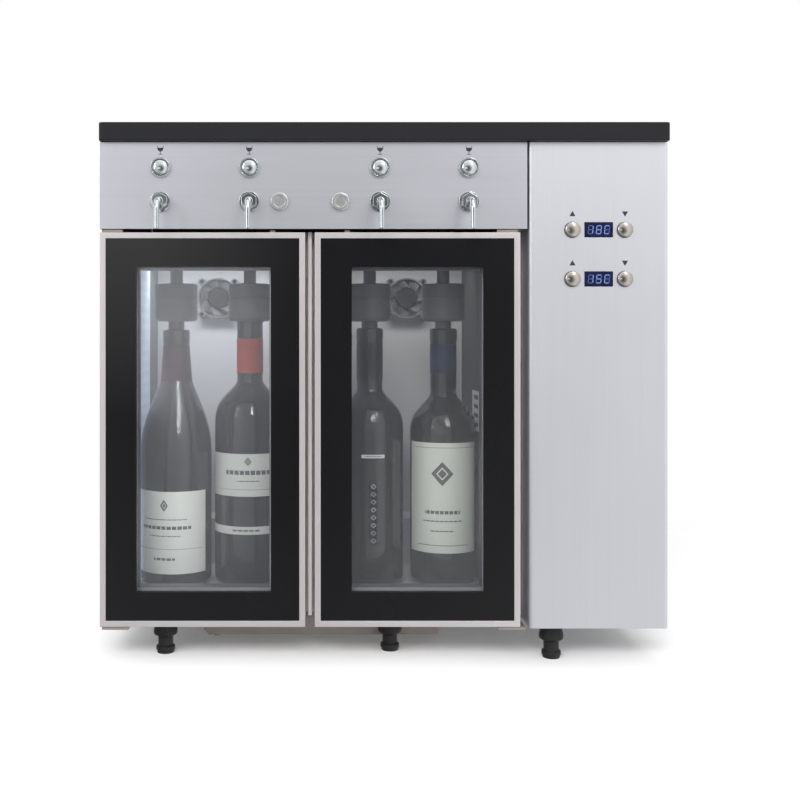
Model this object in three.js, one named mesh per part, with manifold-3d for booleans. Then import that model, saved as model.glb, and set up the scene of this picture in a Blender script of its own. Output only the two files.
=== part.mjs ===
// Four-bottle wine preservation dispenser, in millimetres, +Z up.
// The front of the machine faces -Y. The origin lies under the middle of its box, where the feet stand.
// In the machine's own group, y runs back from the front face and z up from the casing's lower edge.

import * as THREE from "three";
import { mergeVertices } from "three/addons/utils/BufferGeometryUtils.js";
import Module from "manifold-3d";

const wasm = await Module();
wasm.setup();

// Fits and sheet metal
const fitGap = 0.3; // between pieces that rest on each other
const sheet = 1.5; // casing sheet
const cutOverrun = 1; // how far a cutting tool runs past the face it cuts
const roundSides = 20; // facets round a turned piece
const cornerSteps = 5; // facets round a casing corner
const smallSides = 14; // facets round a button, a hole or a pin
const fullTurn = 360;
const mergeDistance = 0.0002; // points closer than this are one point

// Doors
const doorWidth = 206;
const doorHeight = 395.3;
const doorDepth = 30;
const doorBottomGap = 1.6;
const doorTopGap = 3.5;
const doorMiddleGap = 9.5;
const doorCoverGap = 8.5;
const frameFace = 6; // aluminium seen round the glass
const windowBorder = 36.5; // door edge to clear window
const glassThickness = 14; // sealed double glazing
const glassInset = 0.8; // glass behind the frame's face
const gasketInset = 14; // door edge to gasket, inboard of the hinge pin
const gasketWidth = 8;
const sealGap = 4; // closed door to casing

// Casing
const coverWidth = 140;
const coverReturn = 40;
const coverCornerRadius = 4;
const fasciaHeight = 87.2;
const fasciaReturn = 15;
const bodyDepth = 330;
const footHeight = 37;
const bodyWidth = 2 * doorWidth + doorMiddleGap + doorCoverGap + coverWidth;
const bodyHeight = doorBottomGap + doorHeight + doorTopGap + fasciaHeight;
const bodyLeft = -bodyWidth / 2;
const bodyRight = bodyWidth / 2;
const coverLeft = bodyRight - coverWidth;
const doorTop = doorBottomGap + doorHeight;
const fasciaBottom = doorTop + doorTopGap;
const casingFront = doorDepth + sealGap;
const insideRear = bodyDepth - sheet - fitGap;
const panelSeat = sheet + fitGap; // outer face of the casing to what sits behind its sheet

// Top slab
const slabThickness = 18.6;
const slabFrontOverhang = 7;
const slabRearOverhang = 3;
const slabCornerRadius = 4;

// Base pan
const panClearance = 1.4; // casing's lower edge to the pan
const panSheet = 2;
const panFlange = 14;
const panTop = panClearance + panSheet;
const floorSeat = panTop + fitGap;

// Cooled compartments
const cellSideGap = 2; // cell to the side of its door's width
const cellWall = 19.5;
const cellFloorHeight = 20;
const cellCeilingDrop = 15.9; // below the door's top edge
const cellCeilingThickness = 15;
const cellInnerDepth = 206;
const cellRearWall = 14;
const cellOuterWidth = doorWidth - 2 * cellSideGap;
const cellInnerWidth = cellOuterWidth - 2 * cellWall;
const cellCeilingHeight = doorTop - cellCeilingDrop;
const cellMiddle = (cellFloorHeight + cellCeilingHeight) / 2;
const cellRear = casingFront + cellInnerDepth + cellRearWall;
const ductDepth = 40; // air duct hump at the foot of the rear wall
const ductTop = 75;
const sensorLength = 55; // raised sensor guard on the right-hand wall
const sensorHeight = 41;
const sensorProud = 3;
const sensorFromFront = 76;
const sensorAboveMiddle = 8.5;

// Bottles and heads
const bottleSpread = 0.5; // the pair stands this much further apart than half the cell's width
const bottleGap = 6; // between the two bottles of a pair
const bottleFromFront = 115;
const bottleSpacing = cellInnerWidth / 2 + bottleSpread;
const bottleDiameter = bottleSpacing - bottleGap;
const neckDiameter = 27.5;
const mouthClearance = 1;
const headDiameter = 47;
const headHeight = 41.5;
const headFromCeiling = 30;
const headBottom = cellCeilingHeight - headFromCeiling - headHeight;
const headSocketDepth = 20;
const mouthInHead = 12; // how far a bottle's mouth stands in its head
const headShoulder = 5; // bevel round its top and its lower edge
const riserDiameter = 14;
const riserAboveCell = 24;
const dipTubeDiameter = 4;
const dipTubeSides = 8;
const dipTubeAboveFloor = 12;
const bottleWall = 3;
const bottlePunt = 18; // hollow under the bottle
const bottleHeel = 5;
const mouthLip = 1.4;
const mouthLipHeight = 8;

// Bottle shapes: the first has sloping shoulders, the others high ones.
// Width follows the bottles' diameter, and the body's and shoulder's height the whole height.
const bottleHeight = headBottom + mouthInHead - cellFloorHeight;
const bottleShapeShares = [
  { width: 1.04, height: 0.99, body: 0.51, shoulder: 0.295 },
  { width: 1.025, height: 1, body: 0.605, shoulder: 0.14 },
  { width: 0.985, height: 1.005, body: 0.615, shoulder: 0.132 },
  { width: 0.975, height: 1.002, body: 0.63, shoulder: 0.12 },
];
const slopingHeightShares = [0, 0.2, 0.55, 0.8, 1]; // heights up a sloping shoulder
const slopingWidthShares = [1, 0.94, 0.6, 0.24, 0]; // width left over the neck at those heights
const highHeightShares = [0, 0.3, 0.6, 0.82, 1]; // heights up a high shoulder
const highWidthShares = [1, 0.88, 0.56, 0.24, 0];

// Pour stations on the fascia
const spoutSpread = 7; // the spouts of a pair stand this much further apart than its bottles
const spoutSpacing = bottleSpacing + spoutSpread;
const spoutShifts = [2.4, 7]; // middle of each pair to the right of its door's middle
const spoutAboveEdge = 27; // above the fascia's lower edge
const spoutHeight = fasciaBottom + spoutAboveEdge;
const spoutReach = 27;
const spoutTubeDiameter = 5.5;
const spoutBend = 13;
const spoutTipClearance = 1.2; // above the door's top edge
const spoutSteps = 12;
const spoutSectionSteps = 4;
const flangeDiameter = 21;
const flangeThickness = 2;
const nutAcrossFlats = 15;
const nutThickness = 6.5;
const hexSides = 6;
const shankDiameter = 10;
const shankLength = 24;
const pourButtonAboveSpout = 34.2;
const pourButtonHeight = spoutHeight + pourButtonAboveSpout;
const pourButtonDiameter = 16;
const pourButtonProud = 5.2;
const pourButtonStem = 8;
const pourButtonReach = 11;
const domeWidthShares = [1, 0.85, 0.5, 0]; // outline of a button's domed cap
const domeHeightShares = [0.7, 0.92, 1, 1];
const collarDiameter = 20.4;
const collarProud = 3;

// Valve block behind the fascia
const valveFront = 14;
const valveDepth = 26;
const valveBelow = 14;
const valveAbove = 15;
const valveEnd = 16;

// Door locks
const lockSpacing = 61.1;
const lockMiddle = bodyLeft + doorWidth + doorMiddleGap / 2;
const lockDiameter = 18;
const lockProud = 4;
const lockChamfer = 1;
const barrelDiameter = 12;
const barrelEnd = 11;
const camWidth = 9;
const camClearance = 0.7; // locked cam to the door's top edge
const camPastDown = THREE.MathUtils.degToRad(14); // locked cam, past straight down
const camFront = 3.5;
const camThickness = 2.5;
const lugWidth = 5.5;
const lugDepth = 3;
const lugHeight = 3.1;
const lugFront = 7;

// Hinges
const pinInset = 8; // pin from the door's side edge and from its front face
const pinDiameter = 4;
const pinLength = 4.8;
const pinHoleClearance = 0.4;
const earFront = 2;
const earWidth = 21;
const hingePlate = 3;
const lowerHingeWidth = 27;
const lowerHingeDepth = 58;
const frameDepth = 26; // front frame behind the casing's front edges

// Fans on the rear walls
const fanSize = 50;
const fanAcrossCorners = 62;
const fanDepth = 15;
const fanBore = 46;
const fanBelowCeiling = 41.4; // its middle
const fanMiddle = cellCeilingHeight - fanBelowCeiling;
const fanShifts = [-4.5, 11.5]; // to the right of each door's middle
const fanDuctDepth = 6; // recess in the wall behind a fan
const fanScrewSpacing = 40;
const fanScrewHole = 4.4;
const fanArm = 3;
const fanArms = 4;
const fanBoss = 24;
const fanBossDepth = 2.5;
const fanPin = 3;
const fanPinLength = 5;
const rotorHub = 25;
const rotorDiameter = 44;
const rotorDepth = 10;
const rotorBlades = 7;
const bladeThickness = 1.2;
const bladeTwist = 34; // degrees

// Controls on the bay cover
const controlSpacing = 52.6;
const controlAboveDoor = 2.6; // upper row, above the door's top edge
const controlPitch = 49.3;
const controlHeights = [doorTop + controlAboveDoor, doorTop + controlAboveDoor - controlPitch];
const keyDiameter = 15.5;
const keyProud = 4;
const keyStem = 6;
const keyReach = 11.5;
const displayWidth = 28;
const displayHeight = 14.5;
const displayProud = 0.5;
const boardFront = 14;
const boardThickness = 2;
const boardMargin = 14;
const boardPost = 6;

// Feet
const leftFeetInset = 60;
const rightFeetInset = 111;
const middleFootInset = 275; // from the casing's right side
const frontLeftFootBack = 45;
const frontMiddleFootBack = 53;
const frontRightFootBack = 28;
const rearFeetInset = 40;
const footPlaces = [
  { name: "foot_front_left", x: bodyLeft + leftFeetInset, y: frontLeftFootBack },
  { name: "foot_front_middle", x: bodyRight - middleFootInset, y: frontMiddleFootBack },
  { name: "foot_front_right", x: bodyRight - rightFeetInset, y: frontRightFootBack },
  { name: "foot_rear_left", x: bodyLeft + leftFeetInset, y: bodyDepth - rearFeetInset },
  { name: "foot_rear_right", x: bodyRight - rightFeetInset, y: bodyDepth - rearFeetInset },
];
const footPadDiameter = 17;
const footPadHeight = 5.2;
const footFlangeDiameter = 21.7;
const footFlangeTop = 7;
const footWaistDiameter = 15.6;
const footWaistBottom = 8.4;
const footWaistTop = 18;
const footSkirtDiameter = 22;
const footSkirtTop = 19;
const footCollarDiameter = 25.4;
const footCollarMiddle = 22.5;
const footStemDiameter = 22.4;
const footStemBottom = 28;

// Condensate tray under the pan
const trayWidth = 251;
const trayDepth = 130;
const trayDrop = 23;
const trayWall = 2;
const trayMiddle = -62;
const trayFront = 70;
const trayChamfer = 18; // sloping left-hand end

// Heat sinks behind the compartments
const sinkWidth = 90;
const sinkHeight = 110;
const sinkBase = 6;
const sinkDepth = 44;
const sinkFin = 2.5;
const sinkFins = 7;

// Rear panel vents
const ventWidth = 84;
const ventHeight = 6;
const ventPitch = 15;
const ventRows = 7;

// Technical bay
const cylinderDiameter = 60;
const cylinderHeight = 250;
const cylinderNeck = 22;
const cylinderShoulder = 26;
const cylinderNeckHeight = 24;
const cylinderHeel = 5;
const cylinderFromCover = 42;
const cylinderFromFront = 215;
const regulatorWidth = 30;
const regulatorHeight = 34;
const regulatorSocket = 8;
const gaugeDiameter = 26;
const gaugeThickness = 12;
const supplyWidth = 55;
const supplyDepth = 120;
const supplyHeight = 95;
const supplyFromRight = 12;
const supplyFromFront = 70;
const inletWidth = 28;
const inletHeight = 22;
const inletFlange = 5;
const inletWall = 3;
const inletProud = 1.5;
const inletDepth = 24;
const inletFromRight = 60;
const inletMiddle = 70;

// Solid modelling helpers

function solidOf(geometry) {
  const bare = geometry.clone();
  bare.deleteAttribute("normal");
  bare.deleteAttribute("uv");
  const merged = mergeVertices(bare, mergeDistance);
  return new wasm.Manifold(
    new wasm.Mesh({
      numProp: 3,
      vertProperties: new Float32Array(merged.attributes.position.array),
      triVerts: new Uint32Array(merged.index.array),
    }),
  );
}

function geometryOf(solid) {
  const mesh = solid.getMesh();
  const geometry = new THREE.BufferGeometry();
  geometry.setAttribute("position", new THREE.BufferAttribute(mesh.vertProperties, 3));
  geometry.setIndex(new THREE.BufferAttribute(mesh.triVerts, 1));
  geometry.computeVertexNormals();
  return geometry;
}

function union(...solids) {
  return solids.reduce((whole, piece) => whole.add(piece));
}

function cutAll(solid, tools) {
  return tools.reduce((rest, tool) => rest.subtract(tool), solid);
}

// A box from its lowest corner to its highest corner
function block(low, high) {
  const size = high.map((value, axis) => value - low[axis]);
  const geometry = new THREE.BoxGeometry(...size);
  geometry.translate(...low.map((value, axis) => value + size[axis] / 2));
  return solidOf(geometry);
}

function outline(points) {
  return new THREE.Shape(points.map(([across, up]) => new THREE.Vector2(across, up)));
}

// A plan outline in x and y, raised from one height to another
function raised(shape, bottom, top) {
  const geometry = new THREE.ExtrudeGeometry(shape, {
    depth: top - bottom,
    bevelEnabled: false,
    curveSegments: cornerSteps,
  });
  geometry.translate(0, 0, bottom);
  return solidOf(geometry);
}

// A side outline in y and z, run from one x to another
function runAcross(shape, from, to) {
  const geometry = new THREE.ExtrudeGeometry(shape, { depth: to - from, bevelEnabled: false });
  geometry.rotateX(Math.PI / 2);
  geometry.rotateZ(Math.PI / 2);
  geometry.translate(from, 0, 0);
  return solidOf(geometry);
}

// A front outline in x and z, run back from one y to another
function runBack(shape, from, to) {
  const geometry = new THREE.ExtrudeGeometry(shape, { depth: to - from, bevelEnabled: false });
  geometry.rotateX(Math.PI / 2);
  geometry.translate(0, to, 0);
  return solidOf(geometry);
}

// A turned piece on a vertical axis, from points of radius and height
function turned(profile, sides = roundSides) {
  const points = profile.map(([radius, height]) => new THREE.Vector2(radius, height));
  const geometry = new THREE.LatheGeometry(points, sides);
  geometry.rotateX(Math.PI / 2);
  return solidOf(geometry);
}

// A turned piece whose axis runs forwards, from points of radius and distance in front of its seat
function turnedForwards(profile, sides = roundSides) {
  const points = profile.map(([radius, ahead]) => new THREE.Vector2(radius, ahead));
  const geometry = new THREE.LatheGeometry(points, sides);
  geometry.rotateX(Math.PI);
  return solidOf(geometry);
}

function postUp(x, y, bottom, top, diameter, sides = smallSides) {
  const radius = diameter / 2;
  return turned([[0, bottom], [radius, bottom], [radius, top], [0, top]], sides).translate([x, y, 0]);
}

function boreBack(x, z, from, to, diameter, sides = smallSides) {
  const radius = diameter / 2;
  return turnedForwards([[0, -to], [radius, -to], [radius, -from], [0, -from]], sides).translate([x, 0, z]);
}

// A rectangular ring seen from the front, between two depths
function ring(width, height, outerInset, innerInset, front, rear) {
  const outer = block([outerInset, front, outerInset], [width - outerInset, rear, height - outerInset]);
  const inner = block(
    [innerInset, front - cutOverrun, innerInset],
    [width - innerInset, rear + cutOverrun, height - innerInset],
  );
  return outer.subtract(inner);
}

const finishes = {
  brushedSteel: { color: 0xc3c5cb, roughness: 0.36, metalness: 1 },
  coverSteel: { color: 0xd0d2da, roughness: 0.42, metalness: 0.9 },
  slab: { color: 0x303034, roughness: 0.55, metalness: 0 },
  aluminium: { color: 0xd8d2d2, roughness: 0.4, metalness: 0.8 },
  glass: { color: 0x20242a, roughness: 0.05, metalness: 0 },
  rubber: { color: 0x2a2a2c, roughness: 0.8, metalness: 0 },
  chrome: { color: 0xe6eaec, roughness: 0.1, metalness: 1 },
  liner: { color: 0xa6a7a9, roughness: 0.6, metalness: 0 },
  greySteel: { color: 0x8f8a88, roughness: 0.5, metalness: 0.6 },
  blackPlastic: { color: 0x17181a, roughness: 0.5, metalness: 0 },
  bottle: { color: 0x121414, roughness: 0.08, metalness: 0 },
  brass: { color: 0xb89a55, roughness: 0.3, metalness: 1 },
  paintedGreen: { color: 0x4c6a5a, roughness: 0.4, metalness: 0.2 },
  display: { color: 0x0c1440, roughness: 0.2, metalness: 0 },
};

function piece(name, solid, finish) {
  const mesh = new THREE.Mesh(geometryOf(solid), new THREE.MeshStandardMaterial(finishes[finish]));
  mesh.name = name;
  return mesh;
}

function placed(mesh, x, y, z) {
  mesh.position.set(x, y, z);
  return mesh;
}

// The two cooled compartments, each with a door hinged on its outer side
const rightDoorLeft = bodyLeft + doorWidth + doorMiddleGap;
const compartments = [
  { side: "left", doorLeft: bodyLeft, hingeSide: -1 },
  { side: "right", doorLeft: rightDoorLeft, hingeSide: 1 },
].map((place, index) => ({
  ...place,
  middle: place.doorLeft + doorWidth / 2,
  spoutShift: spoutShifts[index],
  fanShift: fanShifts[index],
}));

const stations = compartments.flatMap(({ middle, spoutShift }) =>
  [-1, 1].map((hand) => ({
    bottleX: middle + (hand * bottleSpacing) / 2,
    spoutX: middle + spoutShift + (hand * spoutSpacing) / 2,
  })),
);

const locks = compartments.map((place) => ({
  ...place,
  lockX: lockMiddle + (place.hingeSide * lockSpacing) / 2,
}));

// The cam reaches down from the lock's axis to just above the door, past straight down
const camDrop = spoutHeight - doorTop - camClearance - (camWidth / 2) * Math.sin(camPastDown);
const camLength = camDrop / Math.cos(camPastDown);
const lugOffset = camLength * Math.sin(camPastDown);

// Hinge pin of a door, measured from the door's own lower left front corner
function pinX({ hingeSide }) {
  return hingeSide < 0 ? pinInset : doorWidth - pinInset;
}

// Casing

function topSlab() {
  const left = bodyLeft;
  const right = bodyRight;
  const front = -slabFrontOverhang;
  const rear = bodyDepth + slabRearOverhang;
  const radius = slabCornerRadius;
  const shape = new THREE.Shape();
  shape.moveTo(left + radius, front);
  shape.lineTo(right - radius, front);
  shape.absarc(right - radius, front + radius, radius, -Math.PI / 2, 0, false);
  shape.lineTo(right, rear);
  shape.lineTo(left, rear);
  shape.lineTo(left, front + radius);
  shape.absarc(left + radius, front + radius, radius, Math.PI, 1.5 * Math.PI, false);
  return raised(shape, bodyHeight + fitGap, bodyHeight + slabThickness);
}

function tapFascia() {
  const right = coverLeft - sheet;
  const front = block([bodyLeft, 0, fasciaBottom], [right, sheet, bodyHeight]);
  const topReturn = block([bodyLeft + panelSeat, 0, bodyHeight - sheet], [right, fasciaReturn, bodyHeight]);
  const collars = stations.map(({ spoutX }) =>
    boreBack(spoutX, pourButtonHeight, -collarProud, sheet, collarDiameter),
  );
  const buttonHole = pourButtonDiameter + 2 * fitGap;
  const shankHole = shankDiameter + 2 * fitGap;
  const holes = stations.flatMap(({ spoutX }) => [
    boreBack(spoutX, pourButtonHeight, -collarProud - cutOverrun, panelSeat, buttonHole),
    boreBack(spoutX, spoutHeight, -cutOverrun, sheet + cutOverrun, shankHole),
  ]);
  const lockHoles = locks.map(({ lockX }) =>
    boreBack(lockX, spoutHeight, -cutOverrun, sheet + cutOverrun, barrelDiameter + 2 * fitGap),
  );
  return cutAll(union(front, topReturn, ...collars), [...holes, ...lockHoles]);
}

function leftSidePanel() {
  const shape = outline([
    [casingFront, 0],
    [bodyDepth, 0],
    [bodyDepth, bodyHeight],
    [panelSeat, bodyHeight],
    [panelSeat, fasciaBottom],
    [casingFront, fasciaBottom],
  ]);
  return runAcross(shape, bodyLeft, bodyLeft + sheet);
}

function rearPanel() {
  const panel = block(
    [bodyLeft + panelSeat, bodyDepth - sheet, 0],
    [bodyRight - panelSeat, bodyDepth, bodyHeight],
  );
  const slots = compartments.flatMap(({ middle }) =>
    Array.from({ length: ventRows }, (_, row) => {
      const bottom = cellMiddle + (row - (ventRows - 1) / 2) * ventPitch - ventHeight / 2;
      return block(
        [middle - ventWidth / 2, bodyDepth - sheet - cutOverrun, bottom],
        [middle + ventWidth / 2, bodyDepth + cutOverrun, bottom + ventHeight],
      );
    }),
  );
  const inletX = bodyRight - inletFromRight;
  const halfWidth = inletWidth / 2 + fitGap;
  const halfHeight = inletHeight / 2 + fitGap;
  const inletHole = block(
    [inletX - halfWidth, bodyDepth - sheet - cutOverrun, inletMiddle - halfHeight],
    [inletX + halfWidth, bodyDepth + cutOverrun, inletMiddle + halfHeight],
  );
  return cutAll(panel, [...slots, inletHole]);
}

function bayCover() {
  const radius = coverCornerRadius;
  const inner = radius - sheet;
  const left = coverLeft;
  const right = bodyRight;
  const shape = new THREE.Shape();
  shape.moveTo(left, coverReturn);
  shape.lineTo(left, radius);
  shape.absarc(left + radius, radius, radius, Math.PI, 1.5 * Math.PI, false);
  shape.lineTo(right - radius, 0);
  shape.absarc(right - radius, radius, radius, 1.5 * Math.PI, 2 * Math.PI, false);
  shape.lineTo(right, bodyDepth);
  shape.lineTo(right - sheet, bodyDepth);
  shape.lineTo(right - sheet, radius);
  shape.absarc(right - radius, radius, inner, 0, -Math.PI / 2, true);
  shape.lineTo(left + radius, sheet);
  shape.absarc(left + radius, radius, inner, -Math.PI / 2, -Math.PI, true);
  shape.lineTo(left + sheet, coverReturn);
  const middle = (left + right) / 2;
  const keyHole = keyDiameter + 2 * fitGap;
  const holes = controlHeights.flatMap((height) => [
    block(
      [middle - displayWidth / 2 - fitGap, -cutOverrun, height - displayHeight / 2 - fitGap],
      [middle + displayWidth / 2 + fitGap, sheet + cutOverrun, height + displayHeight / 2 + fitGap],
    ),
    ...[-1, 1].map((hand) =>
      boreBack(middle + (hand * controlSpacing) / 2, height, -cutOverrun, sheet + cutOverrun, keyHole),
    ),
  ]);
  return cutAll(raised(shape, 0, bodyHeight), holes);
}

function bayPartition() {
  const left = compartments[1].middle + cellOuterWidth / 2 + fitGap;
  const top = bodyHeight - fitGap;
  const wall = block([left, casingFront, floorSeat], [left + sheet, insideRear, top]);
  const flange = block([left, casingFront, floorSeat], [coverLeft - fitGap, casingFront + sheet, top]);
  return wall.add(flange);
}

function basePan() {
  const left = bodyLeft + panelSeat;
  const right = bodyRight - panelSeat;
  const bayFront = coverCornerRadius + panelSeat;
  const bayLeft = coverLeft + panelSeat;
  const shape = outline([
    [left, casingFront],
    [coverLeft - fitGap, casingFront],
    [coverLeft - fitGap, coverReturn + fitGap],
    [bayLeft, coverReturn + fitGap],
    [bayLeft, bayFront],
    [right, bayFront],
    [right, insideRear],
    [left, insideRear],
  ]);
  const floor = raised(shape, panClearance, panTop);
  const partition = compartments[1].middle + cellOuterWidth / 2 + panelSeat;
  const rearFlange = block(
    [left, insideRear - panSheet, panClearance],
    [partition - sheet - fitGap, insideRear, panTop + panFlange],
  );
  const sideFlange = block(
    [right - panSheet, bayFront, panClearance],
    [right, insideRear, panTop + panFlange],
  );
  return union(floor, rearFlange, sideFlange);
}

// Front frame: the strip between the doors, the rail over them and the two upper hinge ears
function frontFrame() {
  const railBottom = doorTop + fitGap;
  const railTop = fasciaBottom - fitGap;
  const left = bodyLeft + panelSeat;
  const right = compartments[1].middle + cellOuterWidth / 2;
  const rear = casingFront + frameDepth;
  const rail = block([left, casingFront, railBottom], [right, rear, railTop]);
  const stripLeft = compartments[0].middle + cellOuterWidth / 2 + fitGap;
  const stripRight = compartments[1].middle - cellOuterWidth / 2 - fitGap;
  const strip = block([stripLeft, casingFront, floorSeat], [stripRight, rear, railTop]);
  const ears = compartments.map((place) => {
    const from = place.hingeSide < 0 ? left : right - earWidth;
    const plate = block([from, earFront, railBottom], [from + earWidth, casingFront + fitGap, railTop]);
    const pin = postUp(place.doorLeft + pinX(place), pinInset, doorTop - pinLength, railTop, pinDiameter);
    return plate.add(pin);
  });
  return union(rail, strip, ...ears);
}

function lowerHinge(compartment) {
  const axisX = compartment.doorLeft + pinX(compartment);
  const isLeft = compartment.hingeSide < 0;
  const from = isLeft ? bodyLeft + panelSeat : axisX - lowerHingeWidth / 2;
  const top = panClearance - fitGap;
  const plate = block(
    [from, earFront, top - hingePlate],
    [from + lowerHingeWidth, earFront + lowerHingeDepth, top],
  );
  const pin = postUp(axisX, pinInset, top - hingePlate / 2, doorBottomGap + pinLength, pinDiameter);
  return plate.add(pin);
}

function condensateTray() {
  const top = panClearance - fitGap;
  const bottom = -trayDrop;
  const left = trayMiddle - trayWidth / 2;
  const right = left + trayWidth;
  const outer = outline([
    [left, top],
    [left + trayChamfer, bottom],
    [right, bottom],
    [right, top],
  ]);
  const inner = outline([
    [left + trayWall, top + cutOverrun],
    [left + trayWall, top],
    [left + trayChamfer + trayWall, bottom + trayWall],
    [right - trayWall, bottom + trayWall],
    [right - trayWall, top + cutOverrun],
  ]);
  const hollow = runBack(inner, trayFront + trayWall, trayFront + trayDepth - trayWall);
  return runBack(outer, trayFront, trayFront + trayDepth).subtract(hollow);
}

// Cooled cell: an insulated tub, open to the front, with holes for the two risers
function cell(compartment) {
  const half = cellOuterWidth / 2;
  const inner = cellInnerWidth / 2;
  const top = cellCeilingHeight + cellCeilingThickness;
  const tub = block([-half, casingFront, floorSeat], [half, cellRear, top]);
  const hollow = block(
    [-inner, casingFront - cutOverrun, cellFloorHeight],
    [inner, cellRear - cellRearWall, cellCeilingHeight],
  );
  const hump = block(
    [-inner, cellRear - cellRearWall - ductDepth, cellFloorHeight - cutOverrun],
    [inner, cellRear - cellRearWall + cutOverrun, ductTop],
  );
  const guardFront = casingFront + sensorFromFront;
  const guardBottom = cellMiddle + sensorAboveMiddle - sensorHeight / 2;
  const guard = block(
    [inner - sensorProud, guardFront, guardBottom],
    [inner + cutOverrun, guardFront + sensorLength, guardBottom + sensorHeight],
  );
  const holes = [-1, 1].map((hand) =>
    postUp(
      (hand * bottleSpacing) / 2,
      bottleFromFront,
      cellCeilingHeight - cutOverrun,
      top + cutOverrun,
      riserDiameter + 2 * fitGap,
    ),
  );
  const wallFront = cellRear - cellRearWall;
  const ductFront = wallFront - cutOverrun;
  const duct = boreBack(compartment.fanShift, fanMiddle, ductFront, wallFront + fanDuctDepth, fanBore);
  const shell = tub.subtract(hollow).add(hump);
  return cutAll(compartment.side === "right" ? shell.add(guard) : shell, [duct, ...holes]);
}

// Doors, measured from their own lower left front corner

function doorFrame(compartment) {
  const rim = ring(doorWidth, doorHeight, 0, frameFace, 0, doorDepth);
  const bandFront = glassInset + glassThickness + fitGap;
  const band = ring(doorWidth, doorHeight, frameFace / 2, windowBorder, bandFront, doorDepth);
  const lock = locks.find(({ side }) => side === compartment.side);
  const lugX = lock.lockX + compartment.hingeSide * lugOffset - compartment.doorLeft;
  const lug = block(
    [lugX - lugWidth / 2, lugFront, doorHeight - frameFace / 2],
    [lugX + lugWidth / 2, lugFront + lugDepth, doorHeight + lugHeight],
  );
  const holeDiameter = pinDiameter + 2 * pinHoleClearance;
  const holeDepth = pinLength + pinHoleClearance;
  const holes = [
    postUp(pinX(compartment), pinInset, -cutOverrun, holeDepth, holeDiameter),
    postUp(pinX(compartment), pinInset, doorHeight - holeDepth, doorHeight + cutOverrun, holeDiameter),
  ];
  return cutAll(union(rim, band, lug), holes);
}

function doorGlass() {
  const inset = frameFace + fitGap;
  return block(
    [inset, glassInset, inset],
    [doorWidth - inset, glassInset + glassThickness, doorHeight - inset],
  );
}

function doorGasket() {
  return ring(
    doorWidth,
    doorHeight - doorBottomGap,
    gasketInset,
    gasketInset + gasketWidth,
    doorDepth + fitGap,
    casingFront - fitGap,
  );
}

// Bottle head with its riser and the dip tube that reaches to the foot of the bottle
function bottleHead() {
  const outer = headDiameter / 2;
  const riser = riserDiameter / 2;
  const socket = neckDiameter / 2 + mouthLip + mouthClearance;
  const top = headBottom + headHeight;
  const riserTop = cellCeilingHeight + cellCeilingThickness + riserAboveCell;
  const body = turned([
    [0, headBottom + headSocketDepth],
    [socket, headBottom + headSocketDepth],
    [socket, headBottom],
    [outer - headShoulder, headBottom],
    [outer, headBottom + headShoulder],
    [outer, top - headShoulder],
    [outer - headShoulder, top],
    [riser, top],
    [riser, riserTop],
    [0, riserTop],
  ]);
  const dip = postUp(
    0,
    0,
    cellFloorHeight + bottlePunt + dipTubeAboveFloor,
    headBottom + headSocketDepth + fitGap,
    dipTubeDiameter,
    dipTubeSides,
  );
  return body.add(dip);
}

// Hollow bottle standing on its foot
function bottle(shapeShares, isSloping) {
  const heightShares = isSloping ? slopingHeightShares : highHeightShares;
  const widthShares = isSloping ? slopingWidthShares : highWidthShares;
  const radius = (bottleDiameter * shapeShares.width) / 2;
  const neck = neckDiameter / 2;
  const height = bottleHeight * shapeShares.height;
  const shoulder = heightShares.map((share, index) => [
    neck + (radius - neck) * widthShares[index],
    height * (shapeShares.body + shapeShares.shoulder * share),
  ]);
  const insideShoulder = shoulder.filter((_, index) => index % 2 === 0);
  const insideReversed = insideShoulder.map(([across, up]) => [across - bottleWall, up]).reverse();
  return turned([
    [0, bottlePunt],
    [radius / 2, bottleHeel],
    [radius - bottleHeel, 0],
    [radius, bottleHeel],
    ...shoulder,
    [neck, height - mouthLipHeight],
    [neck + mouthLip, height - mouthLipHeight],
    [neck + mouthLip, height],
    [neck - bottleWall, height],
    ...insideReversed,
    [radius - bottleWall, bottleHeel + bottleWall],
    [radius / 2, bottleHeel + bottleWall],
    [0, bottlePunt + bottleWall],
  ]);
}

// Spout, measured from the front face of the fascia at its own axis
function spout() {
  const flangeFront = fitGap + flangeThickness;
  const nutFront = flangeFront + nutThickness;
  const shank = shankDiameter / 2;
  const flange = flangeDiameter / 2;
  const stem = turnedForwards([
    [0, -shankLength],
    [shank, -shankLength],
    [shank, fitGap],
    [flange, fitGap],
    [flange, flangeFront],
    [0, flangeFront],
  ], smallSides);
  const nutCorner = nutAcrossFlats / Math.sqrt(3);
  const nutRear = flangeFront - fitGap;
  const nutProfile = [[0, nutRear], [nutCorner, nutRear], [nutCorner, nutFront], [0, nutFront]];
  const nut = turnedForwards(nutProfile, hexSides);
  const tip = doorTop + spoutTipClearance - spoutHeight;
  const path = new THREE.CurvePath();
  const start = new THREE.Vector3(0, -flangeFront, 0);
  const bendStart = new THREE.Vector3(0, spoutBend - spoutReach, 0);
  const corner = new THREE.Vector3(0, -spoutReach, 0);
  const bendEnd = new THREE.Vector3(0, -spoutReach, -spoutBend);
  path.add(new THREE.LineCurve3(start, bendStart));
  path.add(new THREE.QuadraticBezierCurve3(bendStart, corner, bendEnd));
  path.add(new THREE.LineCurve3(bendEnd, new THREE.Vector3(0, -spoutReach, tip)));
  const section = new THREE.Shape();
  section.absarc(0, 0, spoutTubeDiameter / 2, 0, 2 * Math.PI, false);
  const tube = new THREE.ExtrudeGeometry(section, {
    steps: spoutSteps,
    curveSegments: spoutSectionSteps,
    bevelEnabled: false,
    extrudePath: path,
  });
  return union(stem, nut, solidOf(tube));
}

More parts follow.
